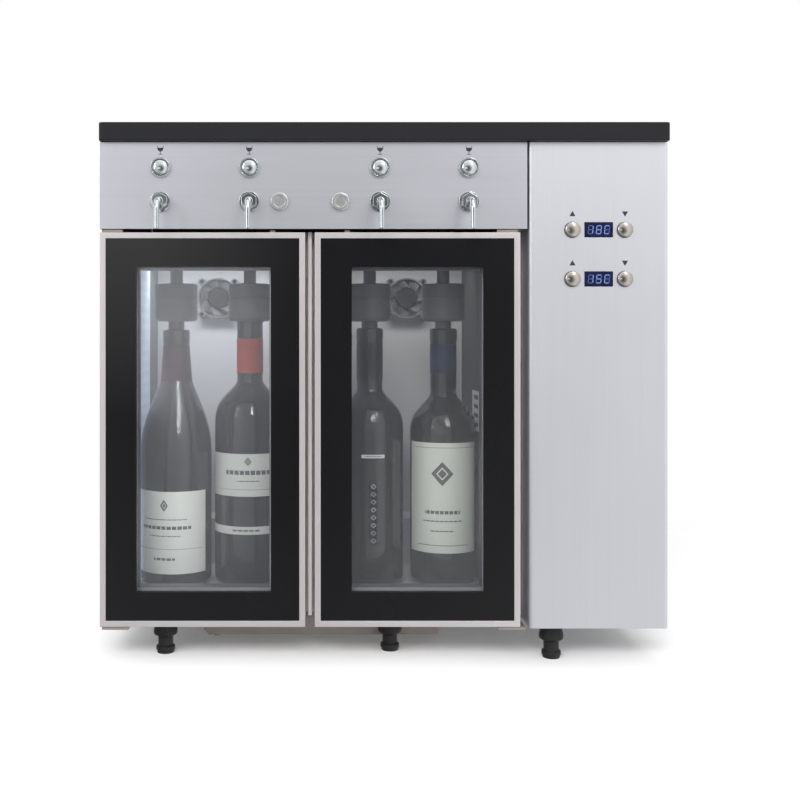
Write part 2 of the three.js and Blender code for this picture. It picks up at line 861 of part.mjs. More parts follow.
// Push buttons, measured from the face that they stand in
function pushButton(diameter, proud, stemDiameter, reach) {
  const radius = diameter / 2;
  const stem = stemDiameter / 2;
  const dome = domeWidthShares.map((share, index) => [radius * share, proud * domeHeightShares[index]]);
  const profile = [[0, -reach], [stem, -reach], [stem, -sheet], [radius, -sheet], ...dome];
  return turnedForwards(profile, smallSides);
}

// Lock plug with its cam arm, which points towards the middle of the machine
function doorLock(compartment) {
  const radius = lockDiameter / 2;
  const barrel = barrelDiameter / 2;
  const plug = turnedForwards([
    [0, -barrelEnd],
    [barrel, -barrelEnd],
    [barrel, fitGap],
    [radius, fitGap],
    [radius, lockProud - lockChamfer],
    [radius - lockChamfer, lockProud],
    [0, lockProud],
  ], smallSides);
  const inward = -compartment.hingeSide;
  const ends = [0, inward * camLength];
  const arm = block(
    [Math.min(...ends), camFront, -camWidth / 2],
    [Math.max(...ends), camFront + camThickness, camWidth / 2],
  );
  return plug.add(arm);
}

function valveBlock() {
  const first = stations[0].spoutX - valveEnd;
  const last = stations[stations.length - 1].spoutX + valveEnd;
  const body = block(
    [first, valveFront, spoutHeight - valveBelow],
    [last, valveFront + valveDepth, pourButtonHeight + valveAbove],
  );
  const socketDiameter = shankDiameter + 2 * fitGap;
  const sockets = stations.map(({ spoutX }) =>
    boreBack(spoutX, spoutHeight, valveFront - cutOverrun, shankLength + fitGap, socketDiameter),
  );
  return cutAll(body, sockets);
}

// Fan frame screwed to the rear wall, measured from its own middle at its front face
function fanFrame() {
  const half = fanSize / 2;
  const square = block([-half, 0, -half], [half, fanDepth, half]);
  const round = boreBack(0, 0, -cutOverrun, fanDepth + cutOverrun, fanAcrossCorners, roundSides);
  const bore = boreBack(0, 0, -cutOverrun, fanDepth + cutOverrun, fanBore, roundSides);
  const corner = fanScrewSpacing / 2;
  const screwHoles = [-corner, corner].flatMap((x) =>
    [-corner, corner].map((z) => boreBack(x, z, -cutOverrun, fanDepth + cutOverrun, fanScrewHole, hexSides)),
  );
  const body = cutAll(square.intersect(round), [bore, ...screwHoles]);
  const arms = Array.from({ length: fanArms }, (_, index) =>
    block(
      [-fanArm / 2, fanDepth - fanBossDepth, 0],
      [fanArm / 2, fanDepth, fanBore / 2 + fanArm / 2],
    ).rotate([0, (fullTurn * index) / fanArms, 0]),
  );
  const boss = boreBack(0, 0, fanDepth - fanBossDepth, fanDepth, fanBoss);
  const pin = boreBack(0, 0, fanDepth - fanBossDepth - fanPinLength, fanDepth - fanBossDepth / 2, fanPin);
  return union(body, ...arms, boss, pin);
}

function fanRotor() {
  const rear = fanDepth - fanBossDepth - fitGap;
  const front = rear - rotorDepth;
  const hub = boreBack(0, 0, front, rear, rotorHub);
  const middle = (front + rear) / 2;
  const blades = Array.from({ length: rotorBlades }, (_, index) =>
    block(
      [-bladeThickness / 2, -rotorDepth / 2, 0],
      [bladeThickness / 2, rotorDepth / 2, rotorDiameter / 2],
    )
      .rotate([0, 0, bladeTwist])
      .translate([0, middle, 0])
      .rotate([0, (fullTurn * index) / rotorBlades, 0]),
  );
  const trim = boreBack(0, 0, front, rear, rotorDiameter);
  const hole = boreBack(0, 0, rear - fanPinLength - fitGap, rear + cutOverrun, fanPin + 2 * fitGap);
  return union(hub, ...blades).intersect(trim).subtract(hole);
}

function heatSink() {
  const half = sinkWidth / 2;
  const bottom = -sinkHeight / 2;
  const base = block([-half, 0, bottom], [half, sinkBase, -bottom]);
  const pitch = (sinkWidth - sinkFin) / (sinkFins - 1);
  const fins = Array.from({ length: sinkFins }, (_, index) => {
    const left = pitch * index - half;
    return block([left, sinkBase / 2, bottom], [left + sinkFin, sinkDepth, -bottom]);
  });
  return union(base, ...fins);
}

// Controls in the bay cover

function display() {
  return block(
    [-displayWidth / 2, -displayProud, -displayHeight / 2],
    [displayWidth / 2, boardFront - fitGap, displayHeight / 2],
  );
}

function controlBoard() {
  const halfWidth = controlSpacing / 2 + boardMargin;
  const low = Math.min(...controlHeights) - boardMargin;
  const high = Math.max(...controlHeights) + boardMargin;
  const plate = block([-halfWidth, boardFront, low], [halfWidth, boardFront + boardThickness, high]);
  const posts = [-1, 1].flatMap((hand) =>
    [low + boardPost / 2, high - boardPost / 2].map((height) =>
      boreBack(hand * (halfWidth - boardPost / 2), height, panelSeat, boardFront + fitGap, boardPost),
    ),
  );
  return union(plate, ...posts);
}

// Machine parts in the technical bay

function gasCylinder() {
  const radius = cylinderDiameter / 2;
  const neck = cylinderNeck / 2;
  const shoulderTop = cylinderHeight - cylinderNeckHeight;
  return turned([
    [0, 0],
    [radius - cylinderHeel, 0],
    [radius, cylinderHeel],
    [radius, shoulderTop - cylinderShoulder],
    [(radius + neck) / 2, shoulderTop - cylinderShoulder / 3],
    [neck, shoulderTop],
    [neck, cylinderHeight],
    [0, cylinderHeight],
  ]);
}

// Pressure regulator, measured from the middle of the cylinder's mouth
function gasRegulator() {
  const half = regulatorWidth / 2;
  const body = block([-half, -half, -regulatorSocket], [half, half, regulatorHeight - regulatorSocket]);
  const socket = postUp(0, 0, -regulatorSocket - cutOverrun, fitGap, cylinderNeck + 2 * fitGap);
  const gaugeHeight = regulatorHeight / 2 - regulatorSocket;
  const gauge = boreBack(0, gaugeHeight, -half - gaugeThickness, -half + fitGap, gaugeDiameter);
  return body.subtract(socket).add(gauge);
}

function powerSupply() {
  return block([0, 0, 0], [supplyWidth, supplyDepth, supplyHeight]);
}

// Appliance inlet with its flange outside the rear panel
function powerInlet() {
  const halfWidth = inletWidth / 2;
  const halfHeight = inletHeight / 2;
  const shell = block([-halfWidth, -inletDepth, -halfHeight], [halfWidth, fitGap + inletProud, halfHeight]);
  const flange = block(
    [-halfWidth - inletFlange, fitGap, -halfHeight - inletFlange],
    [halfWidth + inletFlange, fitGap + inletProud, halfHeight + inletFlange],
  );
  const mouth = block(
    [-halfWidth + inletWall, -inletDepth + inletWall, -halfHeight + inletWall],
    [halfWidth - inletWall, inletProud + cutOverrun, halfHeight - inletWall],
  );
  return shell.add(flange).subtract(mouth);
}

// Levelling foot, measured upwards from the floor
function foot() {
  const top = footHeight + panClearance - fitGap;
  return turned(
    [
      [0, 0],
      [footPadDiameter / 2, 0],
      [footPadDiameter / 2, footPadHeight],
      [footFlangeDiameter / 2, footPadHeight],
      [footFlangeDiameter / 2, footFlangeTop],
      [footWaistDiameter / 2, footWaistBottom],
      [footWaistDiameter / 2, footWaistTop],
      [footSkirtDiameter / 2, footSkirtTop],
      [footCollarDiameter / 2, footCollarMiddle],
      [footStemDiameter / 2, footStemBottom],
      [footStemDiameter / 2, top],
      [0, top],
    ],
    smallSides,
  );
}

// The machine's own group: y backwards from the front face, z upwards from the casing's foot
const machine = new THREE.Group();
const spoutProjection = spoutReach + spoutTubeDiameter / 2;
machine.position.set(0, (spoutProjection - bodyDepth - slabRearOverhang) / 2, footHeight);

machine.add(piece("top_slab", topSlab(), "slab"));
machine.add(piece("tap_fascia", tapFascia(), "brushedSteel"));
machine.add(piece("left_side_panel", leftSidePanel(), "brushedSteel"));
machine.add(piece("rear_panel", rearPanel(), "greySteel"));
machine.add(piece("bay_cover", bayCover(), "coverSteel"));
machine.add(piece("bay_partition", bayPartition(), "greySteel"));
machine.add(piece("base_pan", basePan(), "greySteel"));
machine.add(piece("front_frame", frontFrame(), "greySteel"));
machine.add(piece("condensate_tray", condensateTray(), "greySteel"));
machine.add(piece("valve_block", valveBlock(), "blackPlastic"));

for (const compartment of compartments) {
  const { side, middle, doorLeft, fanShift } = compartment;
  const sinkY = cellRear + fitGap;
  const fanX = middle + fanShift;
  const fanY = cellRear - cellRearWall - fitGap - fanDepth;
  const frame = piece(`fan_frame_${side}`, fanFrame(), "blackPlastic");
  const rotor = piece(`fan_rotor_${side}`, fanRotor(), "blackPlastic");
  machine.add(placed(piece(`cell_${side}`, cell(compartment), "liner"), middle, 0, 0));
  machine.add(placed(piece(`heat_sink_${side}`, heatSink(), "aluminium"), middle, sinkY, cellMiddle));
  machine.add(placed(frame, fanX, fanY, fanMiddle));
  machine.add(placed(rotor, fanX, fanY, fanMiddle));
  machine.add(piece(`lower_hinge_${side}`, lowerHinge(compartment), "aluminium"));

  const door = new THREE.Group();
  door.position.set(doorLeft, 0, doorBottomGap);
  door.add(piece(`door_frame_${side}`, doorFrame(compartment), "aluminium"));
  door.add(piece(`door_glass_${side}`, doorGlass(), "glass"));
  door.add(piece(`door_gasket_${side}`, doorGasket(), "rubber"));
  machine.add(door);
}

for (const lock of locks) {
  const plug = piece(`door_lock_${lock.side}`, doorLock(lock), "chrome");
  machine.add(placed(plug, lock.lockX, 0, spoutHeight));
}

stations.forEach(({ bottleX, spoutX }, index) => {
  const number = index + 1;
  const button = pushButton(pourButtonDiameter, pourButtonProud, pourButtonStem, pourButtonReach);
  const head = piece(`bottle_head_${number}`, bottleHead(), "blackPlastic");
  const glass = piece(`bottle_${number}`, bottle(bottleShapeShares[index], index === 0), "bottle");
  machine.add(placed(piece(`pour_button_${number}`, button, "chrome"), spoutX, 0, pourButtonHeight));
  machine.add(placed(piece(`spout_${number}`, spout(), "chrome"), spoutX, 0, spoutHeight));
  machine.add(placed(head, bottleX, bottleFromFront, 0));
  machine.add(placed(glass, bottleX, bottleFromFront, cellFloorHeight + fitGap));
});

const bayMiddle = (coverLeft + bodyRight) / 2;
machine.add(placed(piece("control_board", controlBoard(), "paintedGreen"), bayMiddle, 0, 0));
["upper", "lower"].forEach((row, index) => {
  const height = controlHeights[index];
  machine.add(placed(piece(`display_${row}`, display(), "display"), bayMiddle, 0, height));
  [["up", -1], ["down", 1]].forEach(([direction, hand]) => {
    const cap = pushButton(keyDiameter, keyProud, keyStem, keyReach);
    const key = piece(`${direction}_key_${row}`, cap, "chrome");
    machine.add(placed(key, bayMiddle + (hand * controlSpacing) / 2, 0, height));
  });
});

const cylinderX = coverLeft + cylinderFromCover;
const regulatorZ = floorSeat + cylinderHeight;
const supplyX = bodyRight - panelSeat - supplyFromRight - supplyWidth;
const inletX = bodyRight - inletFromRight;
const cylinder = piece("gas_cylinder", gasCylinder(), "paintedGreen");
const regulator = piece("gas_regulator", gasRegulator(), "brass");
machine.add(placed(cylinder, cylinderX, cylinderFromFront, floorSeat));
machine.add(placed(regulator, cylinderX, cylinderFromFront, regulatorZ));
machine.add(placed(piece("power_supply", powerSupply(), "greySteel"), supplyX, supplyFromFront, floorSeat));
machine.add(placed(piece("power_inlet", powerInlet(), "blackPlastic"), inletX, bodyDepth, inletMiddle));

for (const { name, x, y } of footPlaces) {
  machine.add(placed(piece(name, foot(), "rubber"), x, y, -footHeight));
}

const dispenser = new THREE.Group();
dispenser.add(machine);

export default dispenser;
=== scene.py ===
# %% [markdown]
# This notebook dresses a counter-top wine dispenser. Its sheet metal, doors, cooled compartments, bottles
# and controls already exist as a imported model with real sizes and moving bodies. Here every part that shows
# gets rounded edges, fine detail and a surface of its own, and nothing is moved or resized. All lengths are
# in metres.

# %% The frame
import math
from collections import namedtuple

import bmesh
import bpy
from bmesh.types import BMEdge, BMVert
from mathutils import Matrix, Vector


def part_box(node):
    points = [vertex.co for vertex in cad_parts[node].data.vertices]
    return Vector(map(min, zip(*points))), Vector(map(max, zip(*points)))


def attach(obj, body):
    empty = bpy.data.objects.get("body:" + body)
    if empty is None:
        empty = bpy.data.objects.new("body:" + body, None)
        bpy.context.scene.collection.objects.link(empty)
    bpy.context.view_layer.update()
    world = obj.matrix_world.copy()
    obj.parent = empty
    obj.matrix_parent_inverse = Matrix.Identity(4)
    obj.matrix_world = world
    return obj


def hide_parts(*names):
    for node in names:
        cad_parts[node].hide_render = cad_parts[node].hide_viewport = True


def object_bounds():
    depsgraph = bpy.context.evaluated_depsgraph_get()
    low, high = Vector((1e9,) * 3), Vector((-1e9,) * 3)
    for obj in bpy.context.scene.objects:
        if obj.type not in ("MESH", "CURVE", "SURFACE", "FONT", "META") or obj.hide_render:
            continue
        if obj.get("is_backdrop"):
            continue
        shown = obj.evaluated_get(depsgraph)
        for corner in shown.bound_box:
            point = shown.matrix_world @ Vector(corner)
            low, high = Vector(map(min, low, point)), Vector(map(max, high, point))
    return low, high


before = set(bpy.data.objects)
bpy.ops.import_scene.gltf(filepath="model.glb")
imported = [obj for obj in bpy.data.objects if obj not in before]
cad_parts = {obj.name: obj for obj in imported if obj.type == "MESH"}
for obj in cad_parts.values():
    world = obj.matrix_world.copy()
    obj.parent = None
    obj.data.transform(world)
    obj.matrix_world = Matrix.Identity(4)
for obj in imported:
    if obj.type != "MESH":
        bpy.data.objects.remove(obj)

mm = 0.001
micron = 1e-6
sides = ("left", "right")
taps = range(1, 5)  # the numbers of the taps and bottles, from the left
cad_low, cad_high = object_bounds()
centre = (cad_low + cad_high) / 2
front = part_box("bay_cover")[0].y  # the machine's front face
print("the model measures", [round(size, 4) for size in cad_high - cad_low])


def middle(node, face=None):
    """The middle of a CAD node's box, or of its front face (y) or its underside (z)."""
    low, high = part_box(node)
    place = (low + high) / 2
    if face:
        setattr(place, face, getattr(low, face))
    return place


# %% [markdown]
# A shader is a sum written with boxes and wires. The class below wraps an output socket, so that the same
# sum can be written as an expression: adding or multiplying two signals adds a Math node. A second class
# holds one material and makes any other node from its type, its settings and its inputs, which keeps each
# finish down to a few lines.

# %% Shader signals
finishes = {}


def operator(operation, reflected=False):
    """A method that stands for one sign of arithmetic and adds a Math node."""
    def method(self, *other):
        values = (*other, self) if reflected else (self, *other)
        return self.finish.node("ShaderNodeMath", {"operation": operation}, values)
    return method


class Signal:
    """A number or colour that changes over a surface: an output socket that can stand in sums."""

    def __init__(self, finish, socket):
        self.finish = finish
        self.socket = socket

    __add__ = __radd__ = operator("ADD")
    __sub__ = operator("SUBTRACT")
    __rsub__ = operator("SUBTRACT", reflected=True)
    __mul__ = __rmul__ = operator("MULTIPLY")
    __pow__ = operator("POWER")
    __mod__ = operator("FLOORED_MODULO")
    __lt__ = operator("LESS_THAN")
    __gt__ = operator("GREATER_THAN")
    __abs__ = operator("ABSOLUTE")

# %% Finishes
class Finish:
    """One material, or the world's light, built up node by node."""

    def __init__(self, name, owner=None):
        self.owner = owner or finishes.setdefault(name, bpy.data.materials.new(name))
        self.owner.use_nodes = True
        self.tree = self.owner.node_tree
        self.tree.nodes.clear()

    def node(self, kind, settings=None, inputs=(), output=0):
        """Adds any node from its type, its settings and the values or signals of its sockets."""
        made = self.tree.nodes.new(kind)
        for name, value in (settings or {}).items():
            setattr(made, name, value)
        for key, value in inputs.items() if isinstance(inputs, dict) else enumerate(inputs):
            socket = made.inputs[key]
            if isinstance(value, Signal):
                self.tree.links.new(value.socket, socket)
            elif value is not None:
                socket.default_value = (*value, 1.0) if socket.type == "RGBA" else value
        return Signal(self, made.outputs[output]) if made.outputs else None

    def place(self, kind="Object"):
        return self.node("ShaderNodeTexCoord", output=kind)

    def along(self, vector, axis):
        return self.node("ShaderNodeSeparateXYZ", inputs=[vector], output=axis)

    def noise(self, scales, detail=3.0, kind="Object"):
        """Cloudy noise with a number of cells per metre, the same or one for each axis."""
        scales = (scales,) * 3 if isinstance(scales, float) else scales
        stretched = self.node("ShaderNodeMapping", inputs={"Vector": self.place(kind), "Scale": scales})
        return self.node("ShaderNodeTexNoise", inputs={"Vector": stretched, "Scale": 1.0, "Detail": detail})

    def step(self, value, start, end):
        """0 below start, 1 above end and a straight slope between them."""
        return self.node("ShaderNodeMapRange", inputs=[value, start, end, 0.0, 1.0])

    def tint(self, factor, first, second):
        return self.node("ShaderNodeMix", {"data_type": "RGBA"}, {0: factor, 6: first, 7: second}, output=2)

    def shades(self, factor, base, low_share, high_share):
        """A colour that goes from one share of itself to another."""
        ends = (tuple(min(1.0, part * share) for part in base) for share in (low_share, high_share))
        return self.tint(factor, *ends)

    def relief(self, height, microns):
        """A normal that follows a height signal, one unit of which is worth so many microns."""
        return self.node("ShaderNodeBump", inputs={"Distance": microns * micron, "Height": height})

    def rays(self, *kinds):
        """Signals that are 1 for rays of a kind and 0 for all others."""
        return [self.node("ShaderNodeLightPath", output=f"Is {kind} Ray") for kind in kinds]

    def principled(self, paint, rough, normal=None, metallic=0.0, others=()):
        values = {"Base Color": paint, "Roughness": rough, "Normal": normal, "Metallic": metallic}
        return self.node("ShaderNodeBsdfPrincipled", inputs={**values, **dict(others)})

    def show(self, shader):
        self.node("ShaderNodeOutputMaterial", inputs=[shader])

    def surface(self, *values, **named_values):
        self.show(self.principled(*values, **named_values))


# %% [markdown]
# Brushed stainless steel is a mirror scratched in one direction. Long thin noise stands for the scratches:
# it changes the tone a little, the roughness more, and lifts the surface by a few microns. A slow cloudy
# noise on top gives the faint patches that rolled sheet has. The tap fascia is brushed along its length and
# the control bay's cover has a finer satin, so both come from one function.

# %% Brushed steel
def brushed_steel(name, base, rough, scales):
    finish = Finish(name)
    strokes = finish.noise(scales, 5.0)
    lines = finish.noise(tuple(scale / 6 for scale in scales), 2.0)
    clouds = finish.noise(7.0, 2.0)
    tone = finish.step(strokes * 0.3 + lines * 0.3 + clouds * 0.4, 0.3, 0.7)
    roughness = rough + (strokes - 0.5) * 0.1 + (clouds - 0.5) * 0.06
    scratches = finish.relief(strokes * 0.7 + lines * 0.3, 12)
    finish.surface(finish.shades(tone, base, 0.97, 1.03), roughness, scratches, 1.0, {"Anisotropic": 0.4})


brushed_steel("fascia_steel", (0.72, 0.732, 0.788), 0.36, (14.0, 900.0, 1800.0))
brushed_steel("cover_steel", (0.8, 0.805, 0.855), 0.46, (1500.0, 1500.0, 25.0))
brushed_steel("trim_steel", (0.6, 0.6, 0.62), 0.3, (900.0, 900.0, 900.0))
print("steels:", list(finishes))

# %% [markdown]
# The door frames are extruded aluminium, anodised in a warm silver. Extrusion leaves straight draw lines,
# and anodising leaves a soft sheen, so the lines are shallow and the metal is rougher than the steel. The
# strip between the doors and the tray under the base are coated sheet, whose paint dries with a fine orange
# peel.

# %% Aluminium and coated sheet
def anodised(name, base, rough):
    finish = Finish(name)
    lines = finish.noise((700.0, 700.0, 9.0), 4.0) * 0.5 + finish.noise((9.0, 700.0, 700.0), 4.0) * 0.5
    paint = finish.shades(finish.noise(22.0), base, 0.94, 1.05)
    finish.surface(paint, rough + (lines - 0.5) * 0.2, finish.relief(lines, 8), 0.85)


def coated_sheet(name, base, rough, metallic=0.0):
    finish = Finish(name)
    skin = finish.noise(900.0, 2.0)
    wear = finish.noise((35.0, 35.0, 12.0), 4.0)
    roughness = rough + (wear - 0.5) * 0.15 + (skin - 0.5) * 0.08
    finish.surface(finish.shades(wear, base, 0.88, 1.1), roughness, finish.relief(skin, 25), metallic)


anodised("door_aluminium", (0.735, 0.69, 0.7), 0.38)
anodised("sink_aluminium", (0.58, 0.59, 0.61), 0.45)
coated_sheet("frame_steel", (0.82, 0.74, 0.73), 0.32, 0.4)
# the tray's own dark finish, also used as painted shade on the hinge plates and hinge ears
coated_sheet("dark_steel_and_shade", (0.3, 0.27, 0.25), 0.5, 0.5)
coated_sheet("casing_steel", (0.4, 0.4, 0.42), 0.48, 0.35)
coated_sheet("cylinder_paint", (0.08, 0.18, 0.12), 0.3)
print("with aluminium and coated sheet:", len(finishes), "finishes")

# %% [markdown]
# Plastics and rubber come next. The top slab is a dark laminate with a fine pebble grain, the bottle heads
# and fans are moulded in tools with an eroded surface, and the compartments are lined in a pale smooth
# sheet. All of them have a grain of their own size, and a slow change of tone that stands for dust and
# handling.

# %% Plastics and rubber
def moulded(name, base, rough, grain, microns, spread=0.12, shine=0.5):
    finish = Finish(name)
    pebble = finish.noise(grain, 2.0)
    dust = finish.noise(18.0, 4.0)
    paint = finish.shades(dust, base, 1 - spread, 1 + spread)
    roughness = rough + (pebble - 0.5) * 0.12 + (dust - 0.5) * 0.1
    finish.surface(paint, roughness, finish.relief(pebble, microns), others={"Specular IOR Level": shine})


moulded("slab_laminate", (0.0095, 0.0093, 0.012), 0.45, 1400.0, 30, shine=0.25)
moulded("head_plastic", (0.1, 0.102, 0.108), 0.45, 2200.0, 20)
moulded("fan_plastic", (0.13, 0.133, 0.14), 0.4, 2200.0, 15)
moulded("black_plastic", (0.012, 0.012, 0.014), 0.5, 1800.0, 25)
moulded("foot_rubber", (0.009, 0.009, 0.01), 0.6, 1200.0, 40, 0.3)
moulded("seal_rubber", (0.02, 0.02, 0.022), 0.75, 1500.0, 30)
moulded("cell_lining", (0.52, 0.525, 0.53), 0.5, 700.0, 18, 0.05)
moulded("printed_grey", (0.03, 0.033, 0.042), 0.5, 3000.0, 4, 0.2, 0.2)
# shadow_grey and painted_shade_grey are painted shade, for walls and frame faces that lie in shade
moulded("shadow_grey", (0.03, 0.028, 0.03), 0.55, 900.0, 20)
moulded("inner_frame_grey", (0.3, 0.3, 0.31), 0.5, 900.0, 20)
moulded("painted_shade_grey", (0.1, 0.105, 0.125), 0.5, 900.0, 20)
moulded("guard_plastic", (0.62, 0.62, 0.63), 0.45, 1500.0, 15)
print("with plastics and rubber:", len(finishes), "finishes")

# %% [markdown]
# Chrome is nearly a perfect mirror, so what shows is what it reflects. Fingers and cloths leave it with
# fine wipe marks, which are given as small changes of roughness. The locks are duller from use and the keys
# are nickel. Brass and the green lacquered circuit board sit inside the control bay, where service staff
# would see them.

# %% Chrome, brass and board
def polished(name, base, rough):
    finish = Finish(name)
    wipes = finish.noise((260.0, 60.0, 260.0), 5.0)
    smears = finish.noise(90.0)
    roughness = rough + finish.step(wipes, 0.45, 0.75) * 0.1
    finish.surface(finish.shades(smears, base, 0.95, 1.0), roughness, finish.relief(smears, 6), 1.0)


polished("chrome", (0.62, 0.66, 0.68), 0.06)
polished("worn_chrome", (0.7, 0.71, 0.71), 0.3)
polished("key_nickel", (0.5, 0.465, 0.43), 0.12)
polished("regulator_brass", (0.62, 0.46, 0.2), 0.22)
board = Finish("board_green")
traces = board.step(board.noise((160.0, 160.0, 420.0), 1.0), 0.5, 0.52)
lacquer = board.tint(traces, (0.02, 0.12, 0.05), (0.05, 0.22, 0.1))
board.surface(lacquer, 0.25 + traces * 0.15, board.relief(traces, 30))
print("with bright metals and board:", len(finishes), "finishes")

# %% [markdown]
# Real glass panes bend light, but a flat pane in a door shows no bending, only reflection. So a pane is a
# mix of clear and mirror, whose share of mirror rises towards grazing angles by a fifth power. Light from
# inside then passes through it. The rear pane carries a coat that keeps warmth out: it mirrors more than
# plain glass and has a slight haze. The black border that is printed on the front pane has a gloss of its
# own. Bottles are full of dark wine, so they are a deep gloss instead of clear glass. Faint wipe marks and
# waves vary all of them.

# %% Glass
def pane_glass(name, plain_share, haze_share):
    finish = Finish(name)
    grazing = finish.node("ShaderNodeLayerWeight", inputs={"Blend": 0.5}, output="Facing")
    wipes = finish.noise((30.0, 30.0, 9.0), 4.0)
    clear = finish.node("ShaderNodeBsdfTransparent", inputs=[(0.98, 0.985, 0.985)])
    haze = finish.node("ShaderNodeBsdfTranslucent", inputs=[(0.95, 0.92, 0.97)])
    hazy = finish.node("ShaderNodeMixShader", inputs=[haze_share + wipes * 0.02, clear, haze])
    mirror = finish.principled((0.9, 0.94, 0.95), 0.01 + finish.step(wipes, 0.5, 0.8) * 0.05, metallic=1.0)
    mirror_share = plain_share + grazing ** 5.0 * 0.9
    finish.show(finish.node("ShaderNodeMixShader", inputs=[mirror_share, hazy, mirror]))


pane_glass("front_pane", 0.012, 0.0)
pane_glass("rear_pane", 0.06, 0.105)
border = Finish("printed_border")
wipes = border.noise((30.0, 30.0, 9.0), 4.0)
enamel = border.tint(wipes, (0.0055, 0.0055, 0.006), (0.008, 0.008, 0.009))
border.surface(enamel, 0.03 + border.step(wipes, 0.5, 0.8) * 0.05, others={"Specular IOR Level": 0.26})
dark_glass = Finish("bottle_glass")
waves = dark_glass.noise((45.0, 45.0, 25.0))
wine = dark_glass.tint(waves, (0.012, 0.0125, 0.013), (0.02, 0.02, 0.021))
thick_glass = {"IOR": 1.52, "Coat Weight": 0.5}
dark_glass.surface(wine, 0.04 + waves * 0.04, dark_glass.relief(waves, 15), others=thick_glass)
print("with glass:", len(finishes), "finishes")

# %% [markdown]
# Every new piece starts as a bmesh, so a few helpers turn a finished bmesh into an object that rides on a
# body. Smooth shading is kept across shallow angles only, and a Weighted Normal modifier keeps the large
# flat faces flat beside their rounded edges. Most pieces of a machine are folded or milled, which is a box
# with a bevel, or turned, which is an outline spun about an axis, so there is one helper for each.

# %% Pieces
smooth_limit = math.radians(38)
weld = 0.01 * mm  # corners of a CAD mesh that are nearer than this are one
new_pieces = []


def add_object(name, data):
    made = bpy.data.objects.new(name, data)
    bpy.context.scene.collection.objects.link(made)
    return made


def mesh_data(mesh, name):
    """Turns a bmesh into mesh data and frees it."""
    data = bpy.data.meshes.new(name)
    mesh.to_mesh(data)
    mesh.free()
    return data


def make_piece(mesh, name, finish, slot=None, replaces=None, body="casing"):
    """Turns a finished bmesh into a named piece on a body. The slot is not used."""
    for face in mesh.faces:
        face.smooth = True
    for edge in mesh.edges:
        edge.smooth = edge.is_manifold and edge.calc_face_angle(0.0) < smooth_limit
    piece = add_object(name, mesh_data(mesh, name))
    piece.data.materials.append(finishes[finish])
    piece.modifiers.new("flat faces", "WEIGHTED_NORMAL").keep_sharp = True
    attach(piece, body)
    if replaces:
        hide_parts(replaces)
    new_pieces.append(piece)
    return piece


def report(title):
    """Prints the pieces made since the last report, with their faces."""
    print(f"{title}:", ", ".join(f"{piece.name} {len(piece.data.polygons)}" for piece in new_pieces), "faces")
    new_pieces.clear()


def build_each(title, build, names):
    for name in names:
        build(name)
    report(title)


def second_finish(piece, finish, picked):
    """Gives another finish to those faces of a piece that a test picks."""
    piece.data.materials.append(finishes[finish])
    for face in piece.data.polygons:
        if picked(face):
            face.material_index = len(piece.data.materials) - 1

# %% Boxes and bevels
def sharp_edges(mesh, degrees=30):
    limit = math.radians(degrees)
    return [edge for edge in mesh.edges if edge.is_manifold and edge.calc_face_angle(0.0) > limit]


def bevel(mesh, geometry, width, segments=3, affect="EDGES"):
    bmesh.ops.bevel(
        mesh, geom=geometry, offset=width, offset_type="OFFSET", affect=affect, segments=segments,
        profile=0.5, material=-1, clamp_overlap=affect == "EDGES",
    )


def face_outwards(mesh):
    bmesh.ops.recalc_face_normals(mesh, faces=mesh.faces)


def transform(mesh, matrix):
    bmesh.ops.transform(mesh, matrix=matrix, verts=mesh.verts)


def move(mesh, offset):
    bmesh.ops.translate(mesh, verts=mesh.verts, vec=offset)


def of_kind(items, kind):
    return [item for item in items if isinstance(item, kind)]


def box_mesh(low, high, mesh=None):
    """A box between two corners, alone or added to a bmesh."""
    mesh = mesh or bmesh.new()
    low, high = Vector(low), Vector(high)
    place = Matrix.Translation((low + high) / 2) @ Matrix.Diagonal((*(high - low), 1.0))
    bmesh.ops.create_cube(mesh, size=1.0, matrix=place)
    return mesh


def rounded_box(low, high, width):
    mesh = box_mesh(low, high)
    bevel(mesh, mesh.edges[:], width)
    return mesh


def box_piece(name, low, high, width, finish, slot=None, **more):
    return make_piece(rounded_box(low, high, width), name, finish, slot, **more)

# %% Turned shapes
def join_into(mesh, work):
    """Adds one bmesh to another and frees the first."""
    data = mesh_data(work, "joined")
    mesh.from_mesh(data)
    bpy.data.meshes.remove(data)


facing_forward = Matrix.Rotation(math.pi / 2, 4, "X")  # turns an upright axis to point out of the front


def turned(profile, place, forward=False, steps=64, mesh=None):
    """Spins an outline of (radius, height, rounding) points about its axis, alone or added to a bmesh."""
    mesh = mesh or bmesh.new()
    work = bmesh.new()
    points = [work.verts.new((radius, 0.0, height)) for radius, height, _ in profile]
    for pair in zip(points, points[1:]):
        work.edges.new(pair)
    for point, (_, _, rounding) in zip(points, profile):
        if rounding:
            bevel(work, [point], rounding, 5, "VERTICES")
    bmesh.ops.spin(
        work, geom=work.verts[:] + work.edges[:], cent=(0.0, 0.0, 0.0), axis=(0.0, 0.0, 1.0),
        angle=2 * math.pi, steps=steps, use_merge=True, use_duplicate=False,
    )
    bmesh.ops.remove_doubles(work, verts=work.verts, dist=micron)
    face_outwards(work)
    turn = facing_forward if forward else Matrix.Identity(4)
    transform(work, Matrix.Translation(place) @ turn)
    join_into(mesh, work)
    return mesh


def rod(radius, start, end, rounding=0.0):
    """The outline of a rod between two heights, with its end rounded."""
    return [(0.0, start, 0.0), (radius, start, 0.0), (radius, end, rounding), (0.0, end, 0.0)]


def sleeve(bore, outer, start, end, outer_rounding, bore_rounding):
    """The outline of a tube between two heights, with the rims of its end rounded."""
    rim = [(bore, start, 0.0), (outer, start, 0.0), (outer, end, outer_rounding), (bore, end, bore_rounding)]
    return [*rim, rim[0]]


